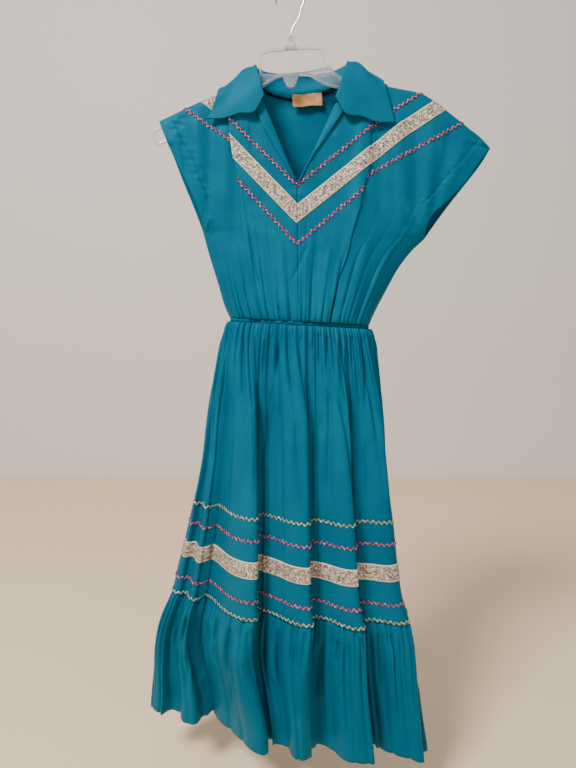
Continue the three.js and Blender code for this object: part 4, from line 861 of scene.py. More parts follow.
def shoulder_z(x):
    """Height of the shoulder line above x; over the neck it goes on rising."""
    left = hermite(LEFT_SHOULDER[:, 0], LEFT_SHOULDER[:, 1], x)
    right = hermite(RIGHT_SHOULDER[::-1, 0], RIGHT_SHOULDER[::-1, 1], x)
    (lx, lz), (rx, rz) = LEFT_NECK[0], RIGHT_NECK[0]
    over = np.minimum(lz + 3 * (x - lx), rz + 3 * (rx - x))
    return np.where((x > lx) & (x < rx), over, np.where(x < CENTRE_X, left, right))


def bodice_depth(key, x, z):
    """How far the front or back stands out from the middle plane: a lens or ellipse across,
    rounded over the hanger's arms at the shoulder, opened at the cuffs."""
    reach = outline_x(x, z) - CENTRE_X
    s = np.clip((x - CENTRE_X) / reach, 0, 1)
    power = hermite(DEPTHS["z"], DEPTHS["power"], z)
    over_arm = np.where(z > HANGER_REACH_Z, ARM_HALF_DEPTH, 0)
    crown = np.maximum(hermite(DEPTHS["z"], DEPTHS[key], z) * np.maximum(1 - s * s, 0) ** power, over_arm)
    from_neck = np.minimum(np.abs(x - LEFT_NECK[0, 0]), np.abs(x - RIGHT_NECK[0, 0])) / 120
    radius = lerp(ROUND_NECK, ROUND_TIP, np.clip(from_neck, 0, 1))
    below = np.clip((shoulder_z(x) - z) / radius, 0, 1)
    low = np.where(x < CENTRE_X, LEFT_CUFF[0, 1], RIGHT_CUFF[0, 1])
    high = np.where(x < CENTRE_X, LEFT_CUFF[-1, 1], RIGHT_CUFF[-1, 1])
    up_cuff = np.clip((z - low) / (high - low), 0, 1)
    lens = CUFF_HALF_GAP * np.maximum(np.sin(np.pi * up_cuff), 0) ** 0.6 * s ** 3
    return (crown + lens) * np.sqrt(np.maximum(1 - (1 - below) ** 2, 0))


def turned(points):
    """The bodice turns with the skirt near the waist."""
    share = smooth((-points[..., 2] - 300) / 220)
    slope = -math.tan(LEVELS["turn"][0] * DEG)
    points[..., 1] += share * (slope * (points[..., 0] - LEVELS["centre_x"][0]) + LEVELS["centre_y"][0])
    return points


def patch(bottom, top, inner, outer):
    """A Coons patch between four edges, each a function of its share: u across, v up."""
    def at(u, v):
        u, v = np.broadcast_arrays(u, v)
        b, t, i, o = bottom(u), top(u), inner(v), outer(v)
        zero, one = np.zeros(1), np.ones(1)
        b0, b1, t0, t1 = bottom(zero)[0], bottom(one)[0], top(zero)[0], top(one)[0]
        uu, vv = u[..., None], v[..., None]
        return lerp(b, t, vv) + lerp(i, o, uu) - lerp(lerp(b0, b1, uu), lerp(t0, t1, uu), vv)
    return at


def two_lines(first, second, part):
    """One edge of a patch from two lines: the first up to the share `part`, then the second."""
    first, second = rounded(first, 8), rounded(second, 8)

    def at(t):
        after = along(second, (t - part) / (1 - part))
        return np.where((t < part)[..., None], along(first, t / part), after)
    return at


def waist_edge(start, side):
    def at(u):
        x = lerp(start, side, np.sin(u * np.pi / 2))
        return np.stack([x, waist_top(x)], -1)
    return at


PATCHES = {
    "left": patch(waist_edge(13, -98), two_lines(LEFT_NECK[::-1], LEFT_SHOULDER[::-1], NECK_SHARE),
                  lambda v: along(CENTRE_FRONT, v), two_lines(LEFT_SIDE, FRONT_LEFT_CUFF, UNDERARM_SHARE)),
    "right": patch(waist_edge(13, 128), two_lines(RIGHT_NECK[::-1], RIGHT_SHOULDER[::-1], NECK_SHARE),
                   lambda v: along(CENTRE_FRONT, v), two_lines(RIGHT_SIDE, FRONT_RIGHT_CUFF, UNDERARM_SHARE)),
}
PLEATS = {"left": KNIFE_PLEAT, "right": SMALL_TUCK}

# Soft folds and wrinkles of the bodice, each along a straight line seen from the front: its ends,
# half width and height in mm, negative for a trough.
FRONT_CREASES = columns("x0 z0 x1 z1 width rise", [
    (-6, -515, -14, -395, 5, 1.8), (-20, -512, -38, -405, 6, -1.8), (-36, -512, -52, -420, 5, 1.8),
    (-52, -510, -78, -390, 7, 2.4), (-66, -510, -88, -430, 5, -1.6), (-78, -508, -108, -360, 7, 2.4),
    (-90, -508, -122, -400, 5, -1.6), (22, -516, 24, -410, 5, 1.8), (34, -516, 44, -380, 6, -2.0),
    (48, -517, 62, -400, 6, 2.2), (62, -518, 84, -370, 7, -2.2), (76, -519, 96, -420, 5, 1.8),
    (88, -519, 124, -380, 8, 2.6), (100, -520, 132, -430, 5, -1.8), (112, -520, 160, -395, 7, 2.0),
    (-100, -215, -104, -350, 12, 3.0), (-122, -200, -128, -350, 9, -2.6), (-146, -196, -142, -330, 10, 2.6),
    (-168, -200, -160, -300, 8, -2.0), (-86, -250, -82, -400, 9, -2.0), (-182, -222, -172, -282, 7, 1.8),
    (112, -200, 106, -400, 10, 2.4), (136, -186, 142, -370, 9, -2.4), (165, -190, 178, -360, 11, 2.8),
    (196, -196, 196, -372, 9, -2.4), (222, -206, 212, -370, 9, 2.4), (252, -214, 222, -358, 8, -2.0),
    (276, -226, 240, -330, 8, 1.8), (188, -330, 214, -378, 5, 1.6), (196, -352, 214, -386, 4, -1.8),
    (178, -372, 206, -392, 4, 1.6), (-124, -352, -138, -372, 4, 1.4), (-118, -372, -134, -392, 4, -1.4),
    (-8, -322, 36, -318, 5, 1.2), (-4, -332, 30, -340, 4, -1.0), (2, -356, 8, -380, 5, 1.0),
    (60, -268, 88, -300, 8, 1.6), (30, -262, 52, -290, 6, -1.4), (-42, -262, -24, -300, 7, 1.5),
    (70, -226, 96, -250, 7, 1.4), (-66, -222, -52, -250, 7, -1.4), (20, -400, 60, -392, 10, 1.2),
    (-60, -372, -20, -388, 9, 1.2), (-40, -340, -66, -330, 8, -1.2), (90, -330, 128, -312, 9, 1.4),
    (-74, -300, -64, -369, 2.2, -1.6), (-64, -369, -52, -445, 2.0, -2.2),
    (-52, -445, -34, -508, 2.0, -2.0),
    (-68, -369, -57, -445, 3.5, 1.6), (26, -360, 27, -400, 2.5, -1.0), (27, -400, 4, -452, 3, -1.4),
    (-34, -372, -20, -512, 3, -1.2), (176, -346, 196, -374, 2.2, -1.8), (184, -342, 206, -366, 2.2, 1.8),
    (202, -340, 214, -360, 2.0, -1.6), (-134, -340, -144, -362, 2.2, -1.6),
    (-128, -352, -136, -374, 2.2, 1.6),
    (76, -420, 64, -500, 3.5, 1.6), (104, -350, 96, -400, 4, 1.4), (12, -306, 13, -516, 2.0, -0.4),
])
BACK_CREASES = columns("x0 z0 x1 z1 width rise", [
    (-80, -508, -110, -380, 7, 2.2), (-62, -510, -84, -400, 6, -2.0), (-44, -512, -56, -420, 5, 1.8),
    (-24, -513, -30, -400, 6, 1.8), (-6, -515, -4, -430, 5, -1.8), (12, -516, 14, -390, 6, 2.0),
    (30, -517, 38, -420, 5, -1.6), (48, -517, 60, -395, 6, 2.0), (66, -518, 86, -410, 6, -2.0),
    (84, -519, 110, -380, 7, 2.4), (102, -519, 134, -420, 5, -1.6), (116, -520, 166, -400, 7, 2.0),
    (-100, -220, -106, -350, 11, 2.6), (-130, -210, -130, -340, 9, -2.4), (-160, -208, -150, -310, 9, 2.2),
    (-20, -240, -26, -380, 14, 2.4), (40, -230, 44, -390, 14, -2.2), (100, -210, 104, -380, 12, 2.6),
    (150, -200, 160, -365, 10, -2.4), (200, -204, 198, -366, 10, 2.4), (244, -216, 220, -350, 8, -2.0),
    (-112, -362, -134, -380, 4, 1.4), (184, -350, 212, -382, 4, 1.6), (176, -372, 206, -394, 4, -1.6),
])


def lines_on(table, x, z):
    """Sum of ridges along straight lines: Gaussian across, fading at both ends."""
    total = np.zeros(np.broadcast(x, z).shape)
    for x0, z0, x1, z1, width, rise in zip(*table.values()):
        dx, dz = x1 - x0, z1 - z0
        size = math.hypot(dx, dz)
        run = ((x - x0) * dx + (z - z0) * dz) / size
        off = ((x - x0) * dz - (z - z0) * dx) / size / width
        ends = smooth((run / size + 0.12) / 0.25) * smooth((1.12 - run / size) / 0.35)
        total += rise * ends * np.exp(-off * off)
    return total


def waist_gathers(x, z, seed):
    """Uneven gathers that fan up from the waist: cos of the share across, as round an ellipse."""
    share = np.clip((x - CENTRE_X) / (outline_x(x, z) - CENTRE_X), 0, 1)
    place = side_of(x) * np.arcsin(share) * 2 / np.pi * 11 + 12
    rise = z - waist_top(x)
    phase = 2 * np.pi * (place + 0.28 * uneven(place * 2, 64, seed, -1, 1))
    depth = 2.2 * uneven(place, 32, seed + 1, 0.5, 1.4)
    reach = uneven(place + 0.5, 32, seed + 2, 40, 170)
    swell = 2.6 * (1 - np.exp(-rise / 5)) * np.exp(-rise / 60) - 1.2 * np.exp(-rise / 3)
    pucker = 1.3 * pinched(2 * phase) * np.exp(-(rise / uneven(place * 2, 64, seed + 3, 14, 50)) ** 2)
    gathers = depth * pinched(phase) * np.exp(-(rise / reach) ** 2)
    return (gathers + pucker) * (1 - share ** 6) + swell * (1 - share ** 4)


EDGE_FADE = 14  # mm over which folds die out towards the outline
CUFF_LINES = {"front": (FRONT_LEFT_CUFF[2:], FRONT_RIGHT_CUFF[2:]), "back": (LEFT_CUFF, RIGHT_CUFF)}
SLEEVE_HEM = 22


def cuff_step(x, z, key):
    """The sleeve hem: a groove along its stitching, the turned-up ply beyond it, and puckers that
    slant across the stitching."""
    on_left = (x < CENTRE_X)[..., None]
    left, right = CUFF_LINES[key]
    first, last = np.where(on_left, left[0], right[0]), np.where(on_left, left[-1], right[-1])
    run = unit(last - first)
    dx, dz = x - first[..., 0], z - first[..., 1]
    off = (dz * run[..., 0] - dx * run[..., 1]) * side_of(x)
    up = dx * run[..., 0] + dz * run[..., 1]
    stitched = np.exp(-((off - SLEEVE_HEM) / 1.6) ** 2)
    pucker = uneven(up / 7, 61, 51, -1, 1) * np.exp(-((off - SLEEVE_HEM) / 9) ** 2)
    fold = 0.6 * np.sin((up + off * 0.7) * 0.5) * np.exp(-((off - SLEEVE_HEM) / 12) ** 2)
    turned_up = 0.6 * smooth((SLEEVE_HEM - off) / 2)
    return (turned_up - 1.3 * stitched + 1.1 * pucker + fold) * smooth((up + 12) / 14)


def pleat_lift(side, x, z):
    """How far the cloth inside a pleat's fold edge stands off, and whether a point is inside."""
    pleat = PLEATS[side]
    v = np.linspace(0, 1, 60)
    edge = PATCHES[side](hermite(pleat["v"], pleat["u"], v), v)
    edge_x = np.interp(z, edge[:, 1], edge[:, 0])
    inside = (x - edge_x) * (1 if side == "left" else -1)
    return 2 * PLY_STEP * smooth(1 - inside / 50), inside > -1


def front_cloth(side, x, z, lift=0.0, clear=0.0):
    """The front at (x, z): depth, gathers and folds, then out by lift and clear, upwards instead of
    forwards on top of the shoulder."""
    fall = np.clip((shoulder_z(x) - z) / ROUND_TIP, 0, 1)
    fine = lines_on(FRONT_CREASES, x, z) + waist_gathers(x, z, 21) + cuff_step(x, z, "front")
    crumple = 0.45 * np.sin(x * 0.11 + z * 0.06) * np.sin(z * 0.09 - x * 0.05 + 0.7)
    edge = smooth((outline_x(x, z) - x) * side_of(x) / EDGE_FADE)
    y = -bodice_depth("front", x, z) - ((fine + crumple) * edge + lift + clear) * fall
    return turned(stacked(x, np.minimum(y, -SEAM / 2), z + (lift + clear) * (1 - fall)))


UNDERLAP, UNDERLAP_DROP = 3.0, 0.5  # of the centre seam, on the right half
BODICE_SHARES = (0, 0.16, 0.93, 1)  # up the bodice, closer rows below the first and above the last


def front_grid(side):
    """A front half with its pleat: plain cloth, the round fold edge, the ply under it, the turn
    back, and plain cloth to the side."""
    pleat = PLEATS[side]
    at = PATCHES[side]
    v = spaced(BODICE_SHARES, (26, 78, 14))[:, None]
    ends = at(np.array([0.0, 1.0])[None, :], v)
    width = lengths(ends[:, 1] - ends[:, 0])[:, None]
    edge, hidden = hermite(pleat["v"], pleat["u"], v), hermite(pleat["v"], pleat["hidden"], v) / width
    turn = np.linspace(0, np.pi, 5)[None, 1:-1]
    round_off = (1 - np.sin(turn)) / width
    start = -UNDERLAP / width if side == "right" else 0 * v
    plain, under = np.linspace(0, 1, 70)[None, :], np.linspace(0, 1, 7)[None, :]
    steps = [  # each stretch's shares across, and its ply: 0 on top, 1 turned back, 2 below
        (lerp(start, edge - 1 / width, plain), 0 * v),
        (edge - round_off, (0.5 - 0.5 * np.cos(turn)) + 0 * v),
        (lerp(edge - 1 / width, edge - hidden + 1 / width, under), 1 + 0 * v),
        (edge - hidden + round_off, (1.5 - 0.5 * np.cos(turn)) + 0 * v),
        (lerp(edge - hidden + 1 / width, edge + 2 / width, under[:, :-1]), 2 + 0 * v),
        (lerp(edge + 2 / width, 1, plain), 2 + 0 * v),
    ]
    u = np.concatenate([np.broadcast_to(s, (len(v), s.shape[1])) for s, _ in steps], 1)
    ply = np.concatenate([np.broadcast_to(p, (len(v), s.shape[1])) for s, p in steps], 1)
    flat = at(u, v)
    x, z = flat[..., 0], flat[..., 1]
    lift, _ = pleat_lift(side, x, z)
    lift = np.where(ply == 0, lift, (2 - ply) * PLY_STEP)
    if side == "right":  # the centre seam's edge runs under the left half
        lift = lift - UNDERLAP_DROP * (1 - smooth(u * width / UNDERLAP))
    points = front_cloth(side, x, z, lift)
    return points, stacked(reach_of(points[60])[None, :] + 900, z)


for side in ("left", "right"):
    points, uv = front_grid(side)
    name = f"bodice_front_{side}"
    piece = cloth_mesh(f"cloth_{name}", points, uv, COTTON, "cotton", name, flip=side == "left")
    declare_sheet(points)

BACK_NECK_STARTS, BACK_NECK_ENDS = 8 / 28, 16 / 28  # shares of the back's top edge


def back_bottom(u):
    """The waist edge, its points closer at the sides: x by (1 - cos) / 2."""
    x = lerp(LEFT_SIDE[0, 0], RIGHT_SIDE[0, 0], (1 - np.cos(u * np.pi)) / 2)
    return np.stack([x, waist_top(x)], -1)


def back_top(u):
    """The top edge: the left shoulder, the back of the neck and the right shoulder."""
    first, second, third = (rounded(p, 8) for p in (LEFT_SHOULDER, BACK_NECK, RIGHT_SHOULDER[::-1]))
    middle = along(second, (u - BACK_NECK_STARTS) / (BACK_NECK_ENDS - BACK_NECK_STARTS))
    last = along(third, (u - BACK_NECK_ENDS) / (1 - BACK_NECK_ENDS))
    from_neck = np.where((u < BACK_NECK_ENDS)[..., None], middle, last)
    return np.where((u < BACK_NECK_STARTS)[..., None], along(first, u / BACK_NECK_STARTS), from_neck)


def back_cloth(x, z, clear=0.0):
    """The back at (x, z): depth, gathers and folds, then out by clear."""
    fall = np.clip((shoulder_z(x) - z) / ROUND_TIP, 0, 1)
    fine = lines_on(BACK_CREASES, x, z) + waist_gathers(x, z, 31) + cuff_step(x, z, "back")
    crumple = 0.45 * np.sin(x * 0.1 - z * 0.07) * np.sin(z * 0.08 + x * 0.06)
    edge = smooth((outline_x(x, z) - x) * side_of(x) / EDGE_FADE)
    y = bodice_depth("back", x, z) + ((fine + crumple) * edge + clear) * fall
    return turned(stacked(x, np.maximum(y, SEAM / 2), z + clear * (1 - fall)))


back_at = patch(back_bottom, back_top, two_lines(LEFT_SIDE, LEFT_CUFF, UNDERARM_SHARE),
                two_lines(RIGHT_SIDE, RIGHT_CUFF, UNDERARM_SHARE))
flat = back_at(np.linspace(0, 1, 225)[None, :], spaced(BODICE_SHARES, (22, 60, 12))[:, None])
points = back_cloth(flat[..., 0], flat[..., 1])
uv = stacked(reach_of(points[50])[None, :] + 1900, flat[..., 1])
piece = cloth_mesh("cloth_bodice_back", points, uv, COTTON, "cotton", "bodice_back")
declare_sheet(points)

# ---------- trims on the bodice ----------
# Each run: the side of the cloth, its start's x and height, its slope, and where and how it bends.
BODICE_RUNS = {
    "ricrac_pink_upper": {
        "left": ("left", APEX_X, -307, 0.98, None),
        "right": ("right", APEX_X, -307, 0.78, (152, -197, 0.64)),
    },
    "brocade": {
        "left": ("left", APEX_X, -350, 1.02, None),
        "right": ("right", APEX_X, -350, 0.79, (180, -217, 0.66)),
        "left_sleeve": ("left", -110, -185.2, 0.8, None),
    },
    "ricrac_pink_lower": {
        "left": ("left", APEX_X, -397, 1.08, None),
        "right": ("right", APEX_X, -397, 0.83, None),
        "left_sleeve": ("left", -84, -243.7, 0.72, None),
        "right_sleeve": ("right", 100, -302.2, 0.56, None),
    },
}


def line_of(side, start, height, slope, bend=None):
    """A trim's middle line from before its start outwards: it rises by slope, and past a bend by
    the bend's own slope."""
    sign = -1 if side == "left" else 1
    x = start + sign * np.linspace(-24, 340, 400)
    z = height + slope * (x - start) * sign
    if bend:
        bend_x, bend_z, bend_slope = bend
        z = np.where(x > bend_x, bend_z + bend_slope * (x - bend_x), z)
    return x, z


def bodice_strip(cloth, x, z, offsets, kept, wave=None, swing=0.0):
    """A strip along the line (x, z) on the bodice; cloth(x, z, clear) gives its points. Each row
    of offsets, across the line and out from the cloth, runs from the first to the last place that
    is kept, so that the strip's ends follow the edges that cut it."""
    reach = reach_of(cloth(x, z, 0))
    dense = np.linspace(0, reach[-1], 1800)
    mid_x, mid_z = np.interp(dense, reach, x), np.interp(dense, reach, z)
    run = unit(np.stack([np.gradient(mid_x), np.gradient(mid_z)], -1))
    across = np.stack([-run[:, 1], run[:, 0]], -1)
    across *= np.sign(across[:, 1:])
    up, away = np.array(offsets, float).T[:, :, None]
    on = kept(mid_x + across[:, 0] * up, mid_z + across[:, 1] * up)
    first = dense[on.argmax(1)]
    last = dense[::-1][on[:, ::-1].argmax(1)]
    count = int((last - first).max() / (wave / 8 if wave else 2)) + 2
    s = lerp(first[:, None], last[:, None], np.linspace(0, 1, count))
    off = up + (swing * np.sin(2 * np.pi * s / wave) if wave else 0)
    px = np.interp(s, dense, mid_x) + np.interp(s, dense, across[:, 0]) * off
    pz = np.interp(s, dense, mid_z) + np.interp(s, dense, across[:, 1]) * off
    return cloth(px, pz, away + 0 * px), stacked(s, up)


def inside_outline(x, z, outlines=BACK_OUTLINES, margin=1.0):
    """True where a point is on the bodice as seen from the front."""
    reach = (outline_x(x, z, outlines) - x) * side_of(x)
    return (z < shoulder_z(x) - margin) & (reach > margin)


RIBBON_HALF = 11.0
RIBBON_PROFILE = [(RIBBON_HALF * t, 1.0 + 0.2 * (1 - t * t)) for t in (1, 0.86, 0.5, 0, -0.5, -0.86, -1)]


def place_trim(name, cloth, x, z, kept):
    """Braid or ribbon along a line, where `kept` says that the cloth is there."""
    ribbon = "brocade" in name
    if ribbon:
        points, uv = bodice_strip(cloth, x, z, RIBBON_PROFILE, kept)
    else:
        points, uv = bodice_strip(cloth, x, z, RICRAC_PROFILE, kept, RICRAC_WAVE, RICRAC_SWING)
    front, forward = points[..., 1].mean() < 0, points[0, -1, 0] > points[0, 0, 0]
    finish, slot = (BROCADE, "brocade") if ribbon else (PINK, "pink_ricrac")
    piece = cloth_mesh(f"trim_{name}", points, uv, finish, slot, f"bodice_{name}", wall=TRIM,
                       flip=front != forward)
    if ribbon:
        edge_map(piece, RIBBON_HALF)


def crosses_tuck(name, part):
    """The upper braid and the ribbon cross the small tuck; every other run stops at a fold edge."""
    return part == "right" and "lower" not in name


for name, runs in BODICE_RUNS.items():
    for part, (side, start, height, slope, bend) in runs.items():
        sleeve = part.endswith("sleeve")
        outward = -1 if side == "left" else 1

        def cloth(px, pz, clear, side=side, sleeve=sleeve):
            lift, inside = pleat_lift(side, px, pz)
            return front_cloth(side, px, pz, 0 if sleeve else np.where(inside, lift, 0), clear)

        def kept(px, pz, side=side, start=start, outward=outward, whole=sleeve or crosses_tuck(name, part)):
            _, inside = pleat_lift(side, px, pz)
            on = inside_outline(px, pz, FRONT_OUTLINES) & ((px - start) * outward >= 0)
            return on if whole else on & inside

        x, z = line_of(side, start, height, slope, bend)
        place_trim(f"{name}_{part}", cloth, x, z, kept)

# On the back: height at the apex, slope to the left and to the right, and where it starts.
BACK_RUNS = {
    "ricrac_pink_upper": (-307, 1.35, 0.74, -86), "brocade": (-350, 1.35, 0.76, -230),
    "ricrac_pink_lower": (-397, 1.25, 0.78, -230),
}
for name, (height, left_slope, right_slope, start) in BACK_RUNS.items():
    x = np.linspace(start, 350, 500)
    z = height + np.where(x < APEX_X, left_slope * (APEX_X - x), right_slope * (x - APEX_X))
    place_trim(f"{name}_back", back_cloth, x, z, inside_outline)

# ---------- collar, facing, label ----------
# Stations from the left front end round the back to the right front end: seam, fold, the place on
# the cloth below the fall's edge, how far the fall dips, and side: -1 front, 0 shoulder, 1 back.
COLLAR = np.array([
    (-38, -17, -177, -40, -29, -174, -127, -206, 19, 12, 10, -1),
    (-44, -15, -160, -46, -26, -151, -119, -192, 4, 6, 5, -1),
    (-49, -8, -139, -52, -13, -126, -112, -174, 1, 2, 2, -1),
    (-50, -4, -134, -53, -7, -121, -108, -165, 0, 0, 0, -1),
    (-50, 0, -132, -54, 0, -117, -104, -160, 0, 0, 0, 0),
    (-49, 5, -136, -53, 7, -116, -101, -164, 0, 0, 0, 1),
    (-48, 9, -139, -52, 12, -116, -99, -172, 0, 0, 0, 1),
    (-46, 12, -142, -50, 16, -117, -94, -186, 0, 0, 0, 1),
    (-27, 17, -154, -32, 25, -119, -56, -206, 0, 0, 0, 1),
    (13, 19, -160, 13, 30, -121, 13, -212, 0, 0, 0, 1),
    (55, 17, -150, 61, 25, -119, 84, -203, 0, 0, 0, 1),
    (83, 10, -137, 87, 14, -113, 130, -174, 0, 0, 0, 1),
    (85, 5, -132, 89, 7, -112, 134, -152, 0, 0, 0, 1),
    (86, 0, -129, 90, 0, -112, 138, -146, 0, 0, 0, 0),
    (86, -4, -131, 89, -7, -115, 143, -155, 0, 0, 0, -1),
    (85, -8, -135, 88, -13, -120, 148, -168, 1, 2, 2, -1),
    (76, -15, -160, 79, -26, -149, 155, -190, 4, 6, 5, -1),
    (67, -17, -182, 70, -29, -177, 161, -212, 19, 13, 11, -1),
], float)
FALL_SHARES = (0.16, 0.42, 0.7, 1)
CLEAR_FRONT, CLEAR_BACK, COLLAR_ROLL = 7.3, 6.0, 4.2


def over_cloth(side, x, z, clear):
    """A point over the bodice: on its plain surface at (x, z), then out along its normal."""
    if side == 0:
        return np.array([x, 0, shoulder_z(np.array(x)) + clear])
    key = "front" if side < 0 else "back"
    low = min(z, shoulder_z(np.array(x)) - 0.5)

    def depth(dx, dz):
        return float(bodice_depth(key, np.array(x + dx), np.array(low + dz)))

    normal = np.array([depth(-0.5, 0) - depth(0.5, 0), side, depth(0, -0.5) - depth(0, 0.4)])
    return np.array([x, side * depth(0, 0), low]) + normal / np.linalg.norm(normal) * clear


def collar_section(row):
    """Stand, fold and fall at one station."""
    seam, fold, (edge_x, edge_z, *dips, side) = row[:3], row[3:6], row[6:]
    outward = -1 if fold[0] < CENTRE_X else 1
    over = np.array([outward if side == 0 else 0.35 * outward, side, 0])
    over = over / math.hypot(*over)
    clear = CLEAR_BACK if side > 0 else CLEAR_FRONT
    start = fold + over * 2.6 + np.array([0, 0, -1.6])
    fall = []
    for t, dip in zip(FALL_SHARES, (*dips, 0)):
        x, z = lerp(start[0], edge_x, t), lerp(start[2], edge_z, t) - dip
        fall.append(over_cloth(side, x, z, clear + COLLAR_ROLL * (1 - t)))
    if side >= 0:
        fall[0] = lerp(start, fall[1], FALL_SHARES[0] / FALL_SHARES[1])
    return np.array([seam, lerp(seam, fold, 0.7), fold, start, *fall])


def collar_grid():
    """The collar: a smooth surface through its sections, faintly crumpled."""
    sections = np.array([collar_section(row) for row in COLLAR])
    points = rounded(rounded(sections, 9).transpose(1, 0, 2), 6)
    across = np.linspace(0, 1, points.shape[0])[:, None]
    down = np.linspace(0, 17, points.shape[1])[None, :]
    fine = 0.5 * np.sin(down * 2.1 + across * 5) * np.sin(across * 9 + down * 0.7) + 0.4 * np.sin(across * 17)
    points = points + normals_of(points) * (fine * smooth(across * 3 - 1))[..., None]
    return points, stacked(down * 18, across * 70)


points, uv = collar_grid()
piece = cloth_mesh("cloth_collar", points, uv, COTTON, "cotton", "collar", wall=1.5)
declare_sheet(points)

# The lapels' widths by share of the way down the V.
LAPEL_WIDTHS = {"left": ((0, 0.35, 0.7, 1), (15, 14, 7, 1.5)),
                "right": ((0, 0.5, 0.65, 0.8, 1), (19, 8, 3.5, 1.5, 1.2))}


def facing_grid():
    """The facing turned out along the V: rolled over the edge from inside, lying on the front, its
    free edge standing off. Down the left side to the apex and up the right."""
    shares = np.linspace(0, 1, 60)
    across = np.linspace(0, 1, 13)[:, None]
    sides = []
    for side, neck, top in (("left", LEFT_NECK, 0.22), ("right", RIGHT_NECK, 0.2)):
        v_line = along(rounded(neck, 12), lerp(top, 0.985, shares))
        run = unit(np.gradient(v_line, axis=0))
        out = np.stack([run[:, 1], -run[:, 0]], -1) * (1 if side == "left" else -1)
        width = np.interp(shares, *LAPEL_WIDTHS[side])
        x = v_line[:, 0] + out[:, 0] * across * width
        z = v_line[:, 1] + out[:, 1] * across * width
        wavy = 0.5 * np.sin(shares * 19 + across * 2) * across
        off = 1.3 + 1.4 * np.sin(np.pi * across * 0.9) + 2.6 * across ** 2 * (width / 15) + wavy
        body = front_cloth(side, x, z, 0, off)
        inside = front_cloth(side, x[:1], z[:1], 0, np.full_like(x[:1], -6.0))
        rolled = x[:1] - out[:, 0] * 1.6, z[:1] - out[:, 1] * 1.6
        roll = front_cloth(side, *rolled, 0, np.full_like(x[:1], -1.5))
        rows = np.concatenate([inside, roll, body], 0)
        sides.append(rows if side == "left" else rows[:, ::-1])
    points = np.concatenate(sides, 1)
    rows, cols = points.shape[:2]
    return points, stacked(np.arange(cols)[None, :] * 3.0, np.arange(rows)[:, None] * 1.2)


points, uv = facing_grid()
piece = cloth_mesh("cloth_facing", points, uv, COTTON, "cotton", "facing", wall=0.7, flip=True)
declare_sheet(points)

LABEL = {"x": 28, "z": -164, "width": 47, "height": 19, "inside": 8.5, "tilt": 4}


def label_grid():
    """A blank tape, slightly waved, its short ends ragged."""
    s, t = np.linspace(-0.5, 0.5, 60), np.linspace(0.5, -0.5, 24)
    rag = uneven(t * 23 + 40, 97, 41, -1, 1)
    x = s[None, :] * (LABEL["width"] + 1.6 * rag[:, None] * (np.abs(s[None, :]) * 2) ** 8)
    z = t[:, None] * LABEL["height"] + 0.5 * np.sin(s[None, :] * 9)
    lean = LABEL["tilt"] * DEG
    px = LABEL["x"] + x * math.cos(lean) - z * math.sin(lean)
    pz = LABEL["z"] + x * math.sin(lean) + z * math.cos(lean)
    y0 = float(bodice_depth("back", np.array(LABEL["x"]), np.array(LABEL["z"]))) - LABEL["inside"]
    y = y0 + 0.8 * np.sin(s[None, :] * 7 + t[:, None] * 2) - 1.2 * (np.abs(s[None, :]) * 2) ** 3
    return stacked(px, y, pz), stacked(x, z)


points, uv = label_grid()
piece = cloth_mesh("tape_label", points, uv, TAPE, "label", "label", wall=TRIM, flip=True)
declare_sheet(points)

# ---------- hanger ----------
HANGER_TOP = line(
    (-211, -215), (-157, -189), (-118, -173), (-83, -157), (-62, -146), (-52, -142), (-46, -138), (-45, -106),
    (-39, -98), (-21, -95), (21, -92), (43, -92), (50, -96), (56, -108), (62, -121), (71, -131),
    (85, -138), (100, -142), (139, -155), (204, -176), (238, -191))
HANGER_BOTTOM = line(
    (240, -203), (200, -194), (140, -174), (108, -160), (81, -151), (61, -147), (43, -138), (30, -132),
    (8, -132), (-15, -133), (-31, -140), (-46, -151), (-84, -174), (-120, -194), (-165, -214),
    (-206, -236), (-215, -228))
HANGER_BAR = line((-45, -132), (-21, -132), (7, -130), (30, -128), (62, -121))
RIB, BAR, WEB = 2.4, 1.8, 1.6  # radius of rim and bar, thickness of the web


def upright(xz):
    """Points of the hanger's middle plane from their x and z."""
    return stacked(xz[..., 0], 0.0, xz[..., 1])


def tube_grid(path, radius, sides, ring=False):
    """Rows round a tube along a path in 3-D; radius is a number or one for each point."""
    path = np.asarray(path, float)
    run = unit((np.roll(path, -1, 0) - np.roll(path, 1, 0)) if ring else np.gradient(path, axis=0))
    forward = np.array([0, 1, 0])
    side = unit(np.cross(run, forward))
    turn = 2 * np.pi * np.arange(sides + 1)[:, None, None] / sides
    reach = np.broadcast_to(radius, len(path))[None, :, None]
    points = path[None] + reach * (np.cos(turn) * side[None] + np.sin(turn) * forward)
    u = np.arange(len(path) + (1 if ring else 0)) * 3.0
    return points, stacked(u[None, :], np.arange(sides + 1)[:, None] * 1.0)


outline = upright(rounded(np.concatenate([HANGER_TOP, HANGER_BOTTOM]), 6, ring=True))
tube_mesh("hanger_rim", *tube_grid(outline, RIB, 12, ring=True), CLEAR, "hanger", "hanger", ring=True)


def web_grid():
    """The thin plate in the arms and under the bar: rows between the upper line and the lower."""
    top = np.concatenate([HANGER_TOP[:7], HANGER_BAR, HANGER_TOP[15:]])
    low = HANGER_BOTTOM[::-1]
    x = np.linspace(top[0, 0], top[-1, 0], 200)
    high, deep = np.interp(x, *top.T), np.interp(x, *low.T)
    rows = np.linspace(0.01, 0.99, 6)[:, None]
    flat = stacked(x, lerp(high, deep, rows))
    return upright(flat), flat


cloth_mesh("hanger_web", *web_grid(), CLEAR_WEB, "hanger", wall=WEB)
tube_mesh("hanger_bar", *tube_grid(rounded(upright(HANGER_BAR), 6), BAR, 10), CLEAR, "hanger")


